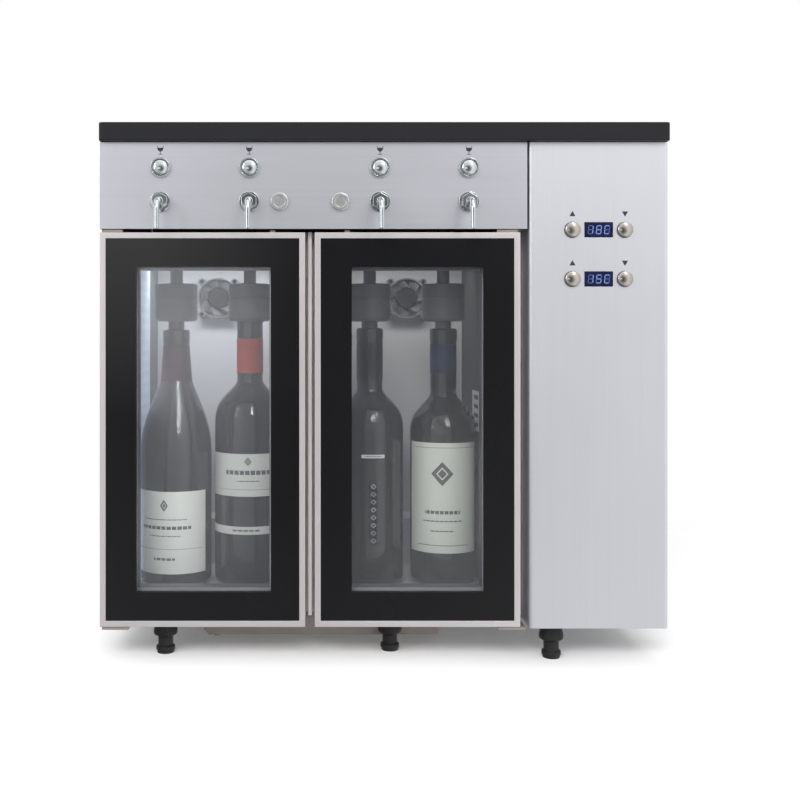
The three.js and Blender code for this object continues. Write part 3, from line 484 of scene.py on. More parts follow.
def dome(radius, base, height, steps=8):
    """Outline points of a low dome, from its rim to the middle."""
    quarter = [math.pi / 2 * step / steps for step in range(steps + 1)]
    return [(radius * math.cos(angle), base + height * math.sin(angle), 0.0) for angle in quarter]

# %% Copies and cuts
def rounded_copy(node, name, finish, width, slot=None, body="casing"):
    """Stands for a CAD node with the same shape, its triangles joined and its edges rounded."""
    mesh = bmesh.new()
    mesh.from_mesh(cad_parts[node].data)
    bmesh.ops.remove_doubles(mesh, verts=mesh.verts, dist=weld)
    bmesh.ops.dissolve_limit(mesh, angle_limit=math.radians(0.5), verts=mesh.verts, edges=mesh.edges)
    bevel(mesh, sharp_edges(mesh), width, 2)
    return make_piece(mesh, name, finish, slot, node, body)


def cut_through(mesh, tools):
    """Cuts the shapes in one bmesh out of another."""
    sources = {"cut": mesh, "tools": tools}
    body, tool = (add_object(name, mesh_data(source, name)) for name, source in sources.items())
    modifier = body.modifiers.new("holes", "BOOLEAN")
    modifier.object = tool
    modifier.solver = "EXACT"
    bpy.context.view_layer.update()
    result = bmesh.new()
    result.from_object(body, bpy.context.evaluated_depsgraph_get())
    for piece in (body, tool):
        bpy.data.meshes.remove(piece.data)
    return result


print("helpers ready")

# %% [markdown]
# The camera stands where the photograph's stood: a little to the left of the machine's middle, about a
# metre away and at the height of the bottles' labels. It looks straight back, so upright edges stay
# upright, and a small shift of the lens sets the machine in the picture. The numbers come from matching the
# corners of the doors and the fans.

# %% Camera
picture_width = 800  # pixels
focal_pixels = 1007.2
aim_across, aim_down = 308.5, 337.6  # the pixel that the lens looks straight at

lens = bpy.data.cameras.new("camera")
lens.lens = lens.sensor_width * focal_pixels / picture_width
lens.shift_x = (picture_width / 2 - aim_across) / picture_width
lens.shift_y = (aim_down - picture_width / 2) / picture_width
camera = add_object("camera", lens)
camera.location = Vector((-75.7 * mm, front - 1008.8 * mm, 328.5 * mm))
camera.rotation_euler = (math.pi / 2, 0.0, 0.0)
bpy.context.scene.camera = camera
bpy.context.scene.view_settings.view_transform = "Standard"
print("lens", round(lens.lens, 1), "mm, shift", round(lens.shift_x, 3), round(lens.shift_y, 3))

# %% [markdown]
# Soft light from large lamps keeps the metal plain. The camera and clear glass see a white world. Mirrors
# see a room instead, because glossy things are judged by what they reflect: it is lighter overhead and to
# the right, darker near the floor and at the sides, and has a dark end straight in front of the machine,
# without which the black door glass would be washed out. A bright window on that end's left gives the soft
# patch in the door glass.

# %% World
world = bpy.data.worlds.new("studio")
bpy.context.scene.world = world
sky = Finish("studio", world)
camera_ray, glossy_ray, glass_ray = sky.rays("Camera", "Glossy", "Transmission")
across, back, up = (sky.along(sky.place("Generated"), axis) for axis in "XYZ")
dark_end = sky.step(back * -1.0, 0.9, 0.99)
window = sky.step(across * -1.0, 0.0, 0.16) * sky.step(up, -0.08, 0.11) * (up < 0.115)
low_share = 0.3 + sky.step(across * 0.4 + up, -0.85, -0.3) * 0.7
side_share = 1.0 - sky.step(abs(across), 0.5, 0.85) * 0.3
overhead = sky.step(across * 0.6 + up, 0.1, 0.7) * 0.2 + sky.step(up, 0.6, 0.95) * 0.35
room = (0.84 + overhead + sky.step(across, 0.0, 0.25) * 0.24) * low_share * side_share
in_mirrors = room * (1.0 - dark_end * 0.85) + window * dark_end * 1.75
on_matt_things = 0.7
strength = camera_ray + glass_ray + glossy_ray * in_mirrors
strength = strength + (1.0 - camera_ray - glass_ray - glossy_ray) * on_matt_things
light = sky.node("ShaderNodeBackground", inputs={"Color": (1.0, 1.0, 1.0), "Strength": strength})
sky.node("ShaderNodeOutputWorld", inputs=[light])

# %% Lamps
def soft_lamp(name, place, target, size, watts):
    data = bpy.data.lights.new(name, "AREA")
    data.shape = "RECTANGLE"
    data.size, data.size_y = size
    data.energy = watts
    lamp = add_object(name, data)
    lamp.location = place
    lamp.rotation_euler = (Vector(target) - Vector(place)).to_track_quat("-Z", "Y").to_euler()
    lamp.visible_camera = False
    return lamp


lamps = {  # each lamp's place, its width and height, and its power in watts
    "key_lamp": ((0.9, -1.9, 2.15), (0.35, 1.3), 10.0),
    "fill_lamp": ((-1.6, -1.6, 1.1), (0.3, 1.2), 7.0),
    "rear_lamp": ((0.0, 1.8, 1.8), (1.6, 1.6), 12.0),
    "front_lamp": ((-0.4, -2.0, 1.3), (1.2, 0.6), 39.0),
}
for name, (place, size, watts) in lamps.items():
    soft_lamp(name, place, centre, size, watts)
bpy.data.objects["front_lamp"].visible_glossy = False
print("lamps:", list(lamps))

# %% [markdown]
# The floor is a pale paper sweep. A diffuse disc takes the machine's soft shadow, and it turns clear with
# the distance from the middle, so that it fades into the white world. It is clear to mirrors, which would
# show its edge.

# %% Floor
sweep = Finish("floor")
distance = sweep.node("ShaderNodeVectorMath", {"operation": "LENGTH"}, [sweep.place()], output="Value")
grain = sweep.noise(60.0, 2.0)
paper = sweep.node("ShaderNodeBsdfDiffuse", inputs=[sweep.tint(grain, (0.88,) * 3, (0.92,) * 3)])
to_camera, to_mirror = sweep.rays("Camera", "Glossy")
lift = sweep.node("ShaderNodeEmission", inputs={"Strength": to_camera * 0.08})
lit = sweep.node("ShaderNodeAddShader", inputs=[paper, lift])
away = sweep.node("ShaderNodeBsdfTransparent")
clear_share = sweep.step(distance + to_mirror, 0.55, 0.95)
sweep.show(sweep.node("ShaderNodeMixShader", inputs=[clear_share, lit, away]))
disc = bmesh.new()
bmesh.ops.create_circle(disc, cap_ends=True, segments=96, radius=1.0)
floor = add_object("floor", mesh_data(disc, "floor"))
floor.data.materials.append(finishes["floor"])
floor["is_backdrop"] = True
print("floor ready")

# %% [markdown]
# The top slab is a dark laminated board with small rounded front corners. A box is enough of a start: its
# two front corners are bevelled wide, and then every edge gets the small radius that a router leaves.

# %% Top slab
slab_corner, slab_edge = 4 * mm, 0.9 * mm
slab = box_mesh(*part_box("top_slab"))
front_corners = [
    edge for edge in slab.edges
    if edge.verts[0].co.y < centre.y and abs(edge.verts[0].co.z - edge.verts[1].co.z) > slab_edge
]
bevel(slab, front_corners, slab_corner, 6)
bevel(slab, sharp_edges(slab, 60), slab_edge)
make_piece(slab, "slab_board", "slab_laminate", "top_slab", "top_slab")
report("top slab")

# %% [markdown]
# The tap fascia is one folded steel sheet, punched for the buttons, spouts and locks. It is cut from a box
# with a boolean, because punched holes are just what a boolean makes, and the holes get a fine broken edge
# afterwards. The chrome collars round the buttons are separate turned rings, so that they can shine more
# than the sheet.

# %% Tap fascia
sheet = 1.5 * mm
button_hole, spout_hole, lock_hole = 16.6 * mm, 10.6 * mm, 12.6 * mm
punched_edge = 0.35 * mm
tap_rise, lock_spacing = 14 * mm, 61.1 * mm
low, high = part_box("tap_fascia")
buttons = [middle(f"pour_button_{number}") for number in taps]
tap_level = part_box("valve_block")[0].z + tap_rise
spout_places = [Vector((middle(f"spout_{number}").x, front, tap_level)) for number in taps]
gap_left, gap_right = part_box("door_frame_left")[1].x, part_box("door_frame_right")[0].x
gap_middle = (gap_left + gap_right) / 2
lock_places = {
    side: Vector((gap_middle + hand * lock_spacing / 2, front, tap_level))
    for side, hand in zip(sides, (-1, 1))
}


def prism(mesh, corners, radius, length, place):
    """Adds a prism, or with many corners a cylinder, that points out of the front."""
    bmesh.ops.create_cone(
        mesh, cap_ends=True, segments=corners, radius1=radius, radius2=radius, depth=length,
        matrix=Matrix.Translation(place) @ facing_forward,
    )


def punch(tools, place, diameter):
    """Adds a round punch that goes through the front sheet."""
    prism(tools, 48, diameter / 2, 8 * sheet, (place.x, front, place.z))


tools = bmesh.new()
punched = ((buttons, button_hole), (spout_places, spout_hole), (lock_places.values(), lock_hole))
for places, diameter in punched:
    for place in places:
        punch(tools, place, diameter)
fascia = cut_through(box_mesh((low.x, front, low.z), (high.x, front + sheet, high.z)), tools)
bevel(fascia, sharp_edges(fascia), punched_edge, 2)
box_mesh((low.x + 2 * sheet, front + sheet, high.z - sheet), (high.x - sheet, high.y, high.z), fascia)
make_piece(fascia, "fascia_sheet", "fascia_steel", replaces="tap_fascia")

# %% Button collars
collar_bore, collar_radius, collar_proud = 8.3 * mm, 10.2 * mm, 3 * mm
for number, button in enumerate(buttons, 1):
    ring = sleeve(collar_bore, collar_radius, 0.0, collar_proud, 0.8 * mm, 0.6 * mm)
    make_piece(turned(ring, (button.x, front, button.z), True), f"pour_collar_{number}", "chrome")
report("fascia and collars")

# %% [markdown]
# Above each button a small wine glass is printed: a bowl half full, a stem and a foot. Print has almost no
# thickness, so the marks are flat shapes that stand a few hundredths of a millimetre proud. The bowl is a
# circle cut by a plane, which gives the level of the wine, and two thin walls rise from it.

# %% Printed glass marks
print_height = 0.05 * mm
mark_rise = 20 * mm  # a mark's wine level above its button
bowl_width, bowl_height = 6.2 * mm, 7.6 * mm
wall_height, stem_height, foot_width = 1.8 * mm, 2.8 * mm, 4.4 * mm
wine_level, wall_level, stem_drop, foot_drop = 0.1 * mm, 1.1 * mm, 1.2 * mm, 2.7 * mm
line = 0.5 * mm


def thicken(mesh, thickness):
    """Gives flat shapes on the front plane a thickness towards the rear, or the front if it is negative."""
    raised = bmesh.ops.extrude_face_region(mesh, geom=mesh.faces[:])["geom"]
    bmesh.ops.translate(mesh, verts=of_kind(raised, BMVert), vec=(0.0, thickness, 0.0))
    face_outwards(mesh)


def flat_shape(mesh, points, across=0.0, up=0.0):
    """Adds one flat face on the front plane."""
    mesh.faces.new([mesh.verts.new((across + x, 0.0, up + z)) for x, z in points])


def flat_bar(mesh, across, up, width, height):
    x, z = width / 2, height / 2
    flat_shape(mesh, ((-x, -z), (x, -z), (x, z), (-x, z)), across, up)


def build_glass_mark(number):
    place = buttons[number - 1]
    mesh = bmesh.new()
    oval = Matrix.Diagonal((bowl_width / 2, 1.0, bowl_height / 2, 1.0)) @ facing_forward
    bmesh.ops.create_circle(mesh, cap_ends=True, segments=40, radius=1.0, matrix=oval)
    bmesh.ops.bisect_plane(
        mesh, geom=mesh.verts[:] + mesh.edges[:] + mesh.faces[:], plane_co=(0.0, 0.0, wine_level),
        plane_no=(0.0, 0.0, 1.0), clear_outer=True,
    )
    for hand in (-1, 1):
        flat_bar(mesh, hand * (bowl_width - line) / 2, wall_level, line, wall_height)
    flat_bar(mesh, 0.0, -bowl_height / 2 - stem_drop, line * 1.3, stem_height)
    flat_bar(mesh, 0.0, -bowl_height / 2 - foot_drop, foot_width, line)
    thicken(mesh, -print_height)
    move(mesh, (place.x, front, place.z + mark_rise))
    make_piece(mesh, f"glass_mark_{number}", "printed_grey", "black_plastic")


build_each("printed marks", build_glass_mark, taps)

# %% [markdown]
# The push buttons and the keys are turned caps with a domed face. Turning is what a spin does, so each is
# an outline spun about its axis. The outline of the dome is a quarter of an ellipse, and the rim has a
# small round.

# %% Buttons and keys
def build_cap(node, finish, radius, proud):
    place = middle(node)
    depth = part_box(node)[1].y - front
    stem = radius * 0.45
    rim = proud * 0.45
    profile = [(0.0, -depth, 0.0), (stem, -depth, 0.0), (stem, -2 * sheet, 0.0)]
    profile += [(radius, -2 * sheet, cap_edge), *dome(radius, rim, proud - rim)]
    cap = turned(profile, (place.x, front, place.z), True)
    make_piece(cap, node + "_cap", finish, "chrome", node, node)


cap_edge = 0.3 * mm
button_radius, button_proud = 8 * mm, 5.2 * mm
key_radius, key_proud = 7.75 * mm, 4 * mm
for number in taps:
    build_cap(f"pour_button_{number}", "chrome", button_radius, button_proud)
key_names = [f"{way}_key_{row}" for row in ("upper", "lower") for way in ("up", "down")]
for key in key_names:
    build_cap(key, "key_nickel", key_radius, key_proud)
report("caps")

# %% [markdown]
# A spout is a flange, a hexagonal nut and a bent tube with an open end. The tube starts as a ring: it is
# extruded straight, spun a quarter turn about a point below it, and extruded down. At the tip the ring is
# drawn in to the bore and pushed back up, so the wall and the dark opening are real.

# %% Spouts
flange_radius, flange_thickness = 10.5 * mm, 2 * mm
nut_across_flats, nut_thickness = 15 * mm, 6.5 * mm
nut_edge, flange_edge = 0.6 * mm, 0.8 * mm
tube_radius, bore_radius, bend_radius = 2.75 * mm, 1.9 * mm, 11 * mm
sleeve_radius, sleeve_length, shank_radius = 4.1 * mm, 1.6 * mm, 5 * mm
seat = 0.3 * mm  # the flange stands this much off the sheet


def extrude_ring(mesh, edges, offset):
    """Draws a ring of edges out by an offset and returns the new corners and edges."""
    drawn = bmesh.ops.extrude_edge_only(mesh, edges=edges)["geom"]
    corners = of_kind(drawn, BMVert)
    bmesh.ops.translate(mesh, verts=corners, vec=offset)
    return corners, of_kind(drawn, BMEdge)


def spout_tube(reach, drop):
    """A tube that leaves the origin forwards and turns down."""
    mesh = bmesh.new()
    bmesh.ops.create_circle(mesh, segments=28, radius=tube_radius, matrix=facing_forward)
    corners, ring = extrude_ring(mesh, mesh.edges[:], (0.0, bend_radius - reach, 0.0))
    bent = bmesh.ops.spin(
        mesh, geom=corners + ring, cent=(0.0, bend_radius - reach, -bend_radius), axis=(1.0, 0.0, 0.0),
        angle=math.pi / 2, steps=12, use_merge=False, use_duplicate=False,
    )["geom_last"]
    _, ring = extrude_ring(mesh, of_kind(bent, BMEdge), (0.0, 0.0, bend_radius - drop))
    corners, ring = extrude_ring(mesh, ring, (0.0, 0.0, 0.0))
    tip = Matrix.Translation((0.0, -reach, -drop))
    shrink = Matrix.Scale(bore_radius / tube_radius, 4)
    bmesh.ops.transform(mesh, matrix=tip @ shrink @ tip.inverted(), verts=corners)
    _, ring = extrude_ring(mesh, ring, (0.0, 0.0, drop - bend_radius))
    bmesh.ops.edgeloop_fill(mesh, edges=ring)
    face_outwards(mesh)
    return mesh

# %% Spouts with their nuts
def build_spout(number):
    node = f"spout_{number}"
    low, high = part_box(node)
    place = spout_places[number - 1]
    mesh = spout_tube(front - low.y - tube_radius, place.z - low.z)
    nut = bmesh.new()
    nut_start = seat + flange_thickness
    prism(nut, 6, nut_across_flats / math.sqrt(3), nut_thickness, (0.0, -nut_start - nut_thickness / 2, 0.0))
    bevel(nut, nut.edges[:], nut_edge, 2)
    join_into(mesh, nut)
    turned(rod(flange_radius, 0.0, flange_thickness, flange_edge), (0.0, -seat, 0.0), True, mesh=mesh)
    sleeve_place = (0.0, -nut_start - nut_thickness, 0.0)
    turned(rod(sleeve_radius, 0.0, sleeve_length, flange_edge), sleeve_place, True, 40, mesh)
    turned(rod(shank_radius, 0.0, high.y - front), (0.0, high.y - front, 0.0), True, 32, mesh)
    move(mesh, place)
    make_piece(mesh, f"spout_tube_{number}", "chrome", replaces=node)


build_each("spouts", build_spout, taps)

# %% [markdown]
# The door locks are round plugs with a sunk core and a key slot. Behind each, a flat cam turns down in
# front of the lug on its door. The plug is turned, the slot is cut with a thin box, and the cam is a
# rounded bar.

# %% Locks
lock_radius, barrel_radius, core_radius, sunk = 9 * mm, 6 * mm, 5.6 * mm, 0.7 * mm
key_slot = Vector((1.6 * mm, 0.0, 6.8 * mm))
cam_start, cam_end, cam_half_height, cam_edge = 3.5 * mm, 6 * mm, 4.5 * mm, 0.6 * mm


def build_lock(side):
    body = f"lock_{side}"
    node = f"door_lock_{side}"
    place = lock_places[side]
    low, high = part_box(node)
    proud, back = front - low.y, front - high.y
    plug = [
        (0.0, back, 0.0), (barrel_radius, back, 0.0), (barrel_radius, 0.3 * mm, 0.0),
        (lock_radius, 0.3 * mm, 0.2 * mm), (lock_radius, proud, 1.1 * mm), (core_radius, proud, 0.4 * mm),
        (core_radius, proud - sunk, 0.2 * mm), (0.0, proud - sunk, 0.0),
    ]
    slot_front, slot_back = Vector((0.0, -proud - sunk, 0.0)), Vector((0.0, sunk - 2 * sheet, 0.0))
    slot = box_mesh(place + slot_front - key_slot / 2, place + slot_back + key_slot / 2)
    mesh = cut_through(turned(plug, place, True), slot)
    make_piece(mesh, f"lock_plug_{side}", "worn_chrome", "chrome", node, body)
    inner, outer = (place.x, high.x) if side == "left" else (low.x, place.x)
    cam_low = (inner, front + cam_start, place.z - cam_half_height)
    cam_high = (outer, front + cam_end, place.z + cam_half_height)
    box_piece(f"lock_cam_{side}", cam_low, cam_high, cam_edge, "trim_steel", "chrome", body=body)


build_each("locks", build_lock, sides)

# %% [markdown]
# The control bay's cover is one sheet folded round both front corners. A plan outline of four points is
# drawn, its two corners are rounded, and the line is raised to the cover's height and thickened inwards.
# The windows and key holes are punched last. The arrows are printed like the glass marks.

# %% Bay cover
cover_low, cover_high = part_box("bay_cover")
fold_radius, cover_return, cover_edge = 4 * mm, 40 * mm, 0.3 * mm
key_hole, window_gap = 16.1 * mm, 0.3 * mm
arrow_size, arrow_rise = 3 * mm, 16 * mm
displays = {row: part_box(f"display_{row}") for row in ("upper", "lower")}
plan = (
    (cover_low.x, front + cover_return), (cover_low.x, front), (cover_high.x, front),
    (cover_high.x, cover_high.y),
)

cover = bmesh.new()
line_points = [cover.verts.new((x, y, cover_low.z)) for x, y in plan]
for pair in zip(line_points, line_points[1:]):
    cover.edges.new(pair)
bevel(cover, line_points[1:3], fold_radius, 10, "VERTICES")
extrude_ring(cover, cover.edges[:], (0.0, 0.0, cover_high.z - cover_low.z))
face_outwards(cover)
if sum(face.normal.y for face in cover.faces) > 0:
    bmesh.ops.reverse_faces(cover, faces=cover.faces)
bmesh.ops.solidify(cover, geom=cover.faces[:], thickness=sheet)
face_outwards(cover)
tools = bmesh.new()
for key in key_names:
    punch(tools, middle(key), key_hole)
spare = Vector((window_gap, 3 * sheet, window_gap))
for low, high in displays.values():
    box_mesh(Vector((low.x, front, low.z)) - spare, Vector((high.x, front, high.z)) + spare, tools)
cover = cut_through(cover, tools)
bevel(cover, sharp_edges(cover), cover_edge, 2)
make_piece(cover, "cover_sheet", "cover_steel", replaces="bay_cover")

# %% Arrows
def build_arrow(key):
    place = middle(key)
    point = arrow_size if key.startswith("up") else -arrow_size
    mesh = bmesh.new()
    flat_shape(mesh, ((-arrow_size, -point * 0.8), (arrow_size, -point * 0.8), (0.0, point)))
    thicken(mesh, -print_height)
    move(mesh, (place.x, front, place.z + arrow_rise))
    make_piece(mesh, f"{key}_arrow", "printed_grey", "black_plastic")


build_each("cover and arrows", build_arrow, key_names)

# %% [markdown]
# Each display is a dark blue window with three seven-segment figures behind it. A figure is seven short
# bars with pointed ends, drawn once and leaned over a little. Bars that are lit glow pale blue, and the
# others stay as faint ghosts, as they do on a real module. The figures show plain temperatures.

# %% Displays
figure_bars = {"1": "bc", "5": "acdfg", "8": "abcdefg", "C": "adef"}
bar_place_shares = {  # a bar's middle in halves of the figure's width and height
    "a": (0, 1), "g": (0, 0), "d": (0, -1), "b": (1, 0.5), "c": (1, -0.5), "f": (-1, 0.5), "e": (-1, -0.5),
}
figure_height, figure_width, figure_pitch = 8 * mm, 4.6 * mm, 8.2 * mm
bar_width, bar_gap, bar_height, window_edge = 0.9 * mm, 0.25 * mm, 0.04 * mm, 0.4 * mm
slope = Matrix.Identity(4)
slope[0][2] = 0.1  # how far the figures lean over for their height
bar_colours = {
    "lit": ((0.02, 0.03, 0.06), (0.03, 0.04, 0.07), (0.15, 0.23, 0.6), (0.24, 0.33, 0.72)),
    "ghost": ((0.015, 0.03, 0.11), (0.03, 0.05, 0.16), (0.03, 0.04, 0.09), (0.05, 0.06, 0.13)),
}

pane = Finish("display_window")
shade = pane.noise(120.0, 2.0)
blue_glow = pane.tint(pane.step(shade, 0.35, 0.65), (0.001, 0.002, 0.008), (0.005, 0.011, 0.052))
pane.surface(pane.tint(shade, (0.003, 0.004, 0.012), (0.005, 0.007, 0.025)), 0.2 + shade * 0.06, others={
    "Emission Color": blue_glow, "Emission Strength": 1.0, "Specular IOR Level": 0.15,
})
for state, (dull, pale, dim, bright) in bar_colours.items():
    bars = Finish(f"figure_{state}")
    glow = bars.noise(900.0, 1.0)
    bars.surface(bars.tint(glow, dull, pale), 0.3 + glow * 0.1, others={
        "Emission Color": bars.tint(glow, dim, bright), "Emission Strength": 1.0,
    })

# %% Display figures
def add_bar(mesh, name, across):
    """Adds one flat bar with pointed ends to a figure."""
    x, z = bar_place_shares[name]
    upright = x != 0
    half = ((figure_height / 2 if upright else figure_width) - bar_gap) / 2
    tip = bar_width / 2
    inner = half - tip
    points = [(-half, 0.0), (-inner, -tip), (inner, -tip), (half, 0.0), (inner, tip), (-inner, tip)]
    if upright:
        points = [(-y, x) for x, y in points]
    flat_shape(mesh, points, across + x * figure_width / 2, z * figure_height / 2)


def build_display(row, text):
    low, high = displays[row]
    box_piece(f"display_window_{row}", low, high, window_edge, "display_window", replaces=f"display_{row}")
    for state in bar_colours:
        mesh = bmesh.new()
        for index, figure in enumerate(text):
            for name in bar_place_shares:
                if (name in figure_bars[figure]) == (state == "lit"):
                    add_bar(mesh, name, (index - 1) * figure_pitch)
        thicken(mesh, -bar_height)
        transform(mesh, slope)
        move(mesh, middle(f"display_{row}", "y"))
        make_piece(mesh, f"figures_{state}_{row}", f"figure_{state}", "display_window")


build_display("upper", "18C")
build_display("lower", "15C")
report("displays")

# %% [markdown]
# Each door is an aluminium frame with a sealed pair of panes. The frame keeps the CAD shape with its edges
# rounded. Behind the aluminium face it goes on in plastic, which keeps the cold from the metal: mid grey
# outside, and darker on the faces towards the window, as a painted shade. The glazing has a front pane, a
# spacer bar and a rear pane. A black glossy border hides the spacer. It is a thin ring just in front of the
# pane, so that its gloss is its own and even. Rings are flat faces between two outlines, given a thickness.

# %% Doors
window_bottom, window_top = 73.3 * mm, 399.4 * mm  # the part of the glass without print
window_sides = {"left": (-248.5 * mm, -113.5 * mm), "right": (-32.3 * mm, 100 * mm)}
pane_thickness, pane_edge, rail_edge, seal_edge = 4 * mm, 0.3 * mm, 0.5 * mm, 0.8 * mm
print_gap = 0.1 * mm
spacer_inset, spacer_lip, spacer_gap, spacer_thickness = 6 * mm, mm, 0.4 * mm, 5.4 * mm
inner_frame_depth = 15 * mm  # the plastic inner frame starts this far behind the front


def ring_mesh(outer, inner, start, thickness):
    """A flat rectangular ring between the outlines of two upright boxes, with its thickness to the rear."""
    mesh = bmesh.new()
    outer_rim, inner_rim = (
        [mesh.verts.new((x.x, start, z.z)) for x, z in ((low, low), (high, low), (high, high), (low, high))]
        for low, high in (outer, inner)
    )
    for corner in range(4):
        mesh.faces.new((outer_rim[corner - 1], outer_rim[corner], inner_rim[corner], inner_rim[corner - 1]))
    thicken(mesh, thickness)
    return mesh

# %% Door pieces
def build_door(side):
    body = f"door_{side}"
    frame_middle = middle(f"door_frame_{side}")

    def behind(face):
        return face.center.y > front + inner_frame_depth

    def towards_window(face):
        outwards = face.center - frame_middle
        return behind(face) and outwards.x * face.normal.x + outwards.z * face.normal.z < 0

    rails = rounded_copy(f"door_frame_{side}", f"door_rails_{side}", "door_aluminium", rail_edge, body=body)
    second_finish(rails, "inner_frame_grey", behind)
    # painted shade: the plastic faces towards the window get a darker grey
    second_finish(rails, "painted_shade_grey", towards_window)
    low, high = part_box(f"door_glass_{side}")
    pane_back = Vector((high.x, low.y + pane_thickness, high.z))
    pane_start = (low.x, high.y - pane_thickness, low.z)
    left, right = window_sides[side]
    window_low, window_high = Vector((left, 0.0, window_bottom)), Vector((right, 0.0, window_top))
    box_piece(
        f"front_pane_{side}", low, pane_back, pane_edge, "front_pane", "door_glazing",
        replaces=f"door_glass_{side}", body=body,
    )
    black = ring_mesh((low, high), (window_low, window_high), low.y - print_gap, print_gap / 2)
    make_piece(black, f"glass_print_{side}", "printed_border", "door_glazing", body=body)
    inset, lip = (Vector((size, 0.0, size)) for size in (spacer_inset, spacer_lip))
    spacer = ring_mesh(
        (low + inset, high - inset), (window_low - lip, window_high + lip), pane_back.y + spacer_gap,
        spacer_thickness,
    )
    make_piece(spacer, f"spacer_bar_{side}", "seal_rubber", "door_glazing", body=body)
    box_piece(f"rear_pane_{side}", pane_start, high, pane_edge, "rear_pane", "door_glazing", body=body)
    rounded_copy(f"door_gasket_{side}", f"door_seal_{side}", "seal_rubber", seal_edge, "door_seal", body)


build_each("doors", build_door, sides)

# %% [markdown]
# The rest of the casing is folded sheet. Each panel keeps its CAD shape, and a small bevel gives the line
# of light that a real folded edge shows. In the gap between the doors a pale strip stands in front of the
# frame, with a narrow mullion trim before it and a small dark stop at its foot. The tray under the base
# hangs a little lower than the pan, has its left end chamfered, and a stub for its drain.

# %% Casing
panels = {  # the CAD node, the piece, its finish and the size of its bevel in mm
    "left_side_panel": ("left_panel", "cover_steel", 0.4),
    "front_frame": ("centre_strip", "frame_steel", 0.4),
    "base_pan": ("bottom_pan", "casing_steel", 0.3),
}
for node, (name, finish, width) in panels.items():
    rounded_copy(node, name, finish, width * mm)
wall_edge, plate_edge = 0.3 * mm, 0.4 * mm
# painted shade: parts of the front frame in front of this depth, the hinge ears among them, get the dark
# steel
shade_depth = 33 * mm  # the front frame is dark as far back as this
strip = bpy.data.objects["centre_strip"]
second_finish(strip, "dark_steel_and_shade", lambda face: face.center.y < front + shade_depth)

tray_low, tray_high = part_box("condensate_tray")
tray_drop, tray_chamfer, tray_edge = 3.5 * mm, 5 * mm, 0.5 * mm
drain_radius, drain_length, drain_inset, drain_depth = 4 * mm, 4 * mm, 14 * mm, 6 * mm
tray = box_mesh(tray_low - Vector((0.0, 0.0, tray_drop)), tray_high)
left_end = [
    edge for edge in tray.edges if all(vert.co.x < centre.x and vert.co.z < tray_low.z for vert in edge.verts)
]
bevel(tray, left_end, tray_chamfer, 1)
bevel(tray, sharp_edges(tray, 60), tray_edge)
drain_place = tray_low + Vector((drain_inset, drain_depth, -tray_drop))
turned(rod(drain_radius, drain_length / 2, -drain_length / 2, mm), drain_place, steps=24, mesh=tray)
make_piece(tray, "drip_tray", "dark_steel_and_shade", "frame_steel", "condensate_tray")

gap_trims = {  # the piece: its finish, its half width, front, back, bottom and top, and its bevel, in mm
    "centre_stop": ("dark_steel_and_shade", (gap_right - gap_left) / 2 / mm - 0.8, 30, 33.5, 38.5, 44.5, 0.6),
    "back_strip": ("frame_steel", (gap_right - gap_left) / 2 / mm - 0.8, 30.5, 33.5, 46, 436, 0.4),
    "mullion_trim": ("frame_steel", 2.1, 15, 34, 46, 436, 0.7),
}
for name, (finish, half_width, start, end, bottom, top, width) in gap_trims.items():
    trim_low = (gap_middle - half_width * mm, front + start * mm, cad_low.z + bottom * mm)
    trim_high = (gap_middle + half_width * mm, front + end * mm, cad_low.z + top * mm)
    box_piece(name, trim_low, trim_high, width * mm, finish, "frame_steel")
rounded_copy("bay_partition", "bay_wall", "frame_steel", wall_edge)
# painted shade: the lower hinge plates under the doors get the dark steel
for side in sides:
    rounded_copy(f"lower_hinge_{side}", f"hinge_plate_{side}", "dark_steel_and_shade", plate_edge, "door_aluminium")
report("casing")

# %% [markdown]
# The rear panel is a flat sheet with two fields of vent slots, one behind each heat sink, and a window for
# the mains inlet. Punched slots are round at their ends, so the punches are boxes with all their edges
# rounded, and one boolean cuts them all.

# %% Rear panel
rear_low, rear_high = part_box("rear_panel")
vent_width, vent_height, vent_pitch, vent_rows, vent_rounding = 84 * mm, 6 * mm, 15 * mm, 7, 2.4 * mm
inlet_rim = 4.7 * mm
tools = bmesh.new()
for side in sides:
    field = middle(f"heat_sink_{side}")
    size = Vector((vent_width, 4 * sheet, vent_height)) / 2
    for row in range(vent_rows):
        slot = Vector((field.x, rear_high.y, field.z + (row - (vent_rows - 1) / 2) * vent_pitch))
        join_into(tools, rounded_box(slot - size, slot + size, vent_rounding))
inlet_low, inlet_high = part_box("power_inlet")
rim = Vector((inlet_rim, 0.0, inlet_rim))
join_into(tools, box_mesh(inlet_low + rim, inlet_high - rim))
back_panel = cut_through(box_mesh(rear_low, rear_high), tools)
make_piece(back_panel, "back_panel", "casing_steel", replaces="rear_panel")
report("rear panel")

# %% [markdown]
# The back panel and the hinge brackets are held by pan-head screws with a cross recess. A screw is a low
# dome that is turned, and two thin boxes cut its recess. It is made by one function and set wherever a
# screw goes, turned to face out of its own panel.

# %% Screws
def build_screws(name, places, turn, radius):
    """A set of pan-head screws whose heads point along a turned upright axis."""
    height = radius * 0.62
    long, short = radius * 0.62, radius * 0.13
    mesh = bmesh.new()
    for place in places:
        screw = turned([(0.0, 0.0, 0.0), (radius, 0.0, 0.0), *dome(radius, 0.0, height)], (0.0, 0.0, 0.0))
        for x, y in ((long, short), (short, long)):
            screw = cut_through(screw, box_mesh((-x, -y, height * 0.35), (x, y, height * 2)))
        transform(screw, Matrix.Translation(place) @ turn)
        join_into(mesh, screw)
    make_piece(mesh, name, "trim_steel", "casing_steel")


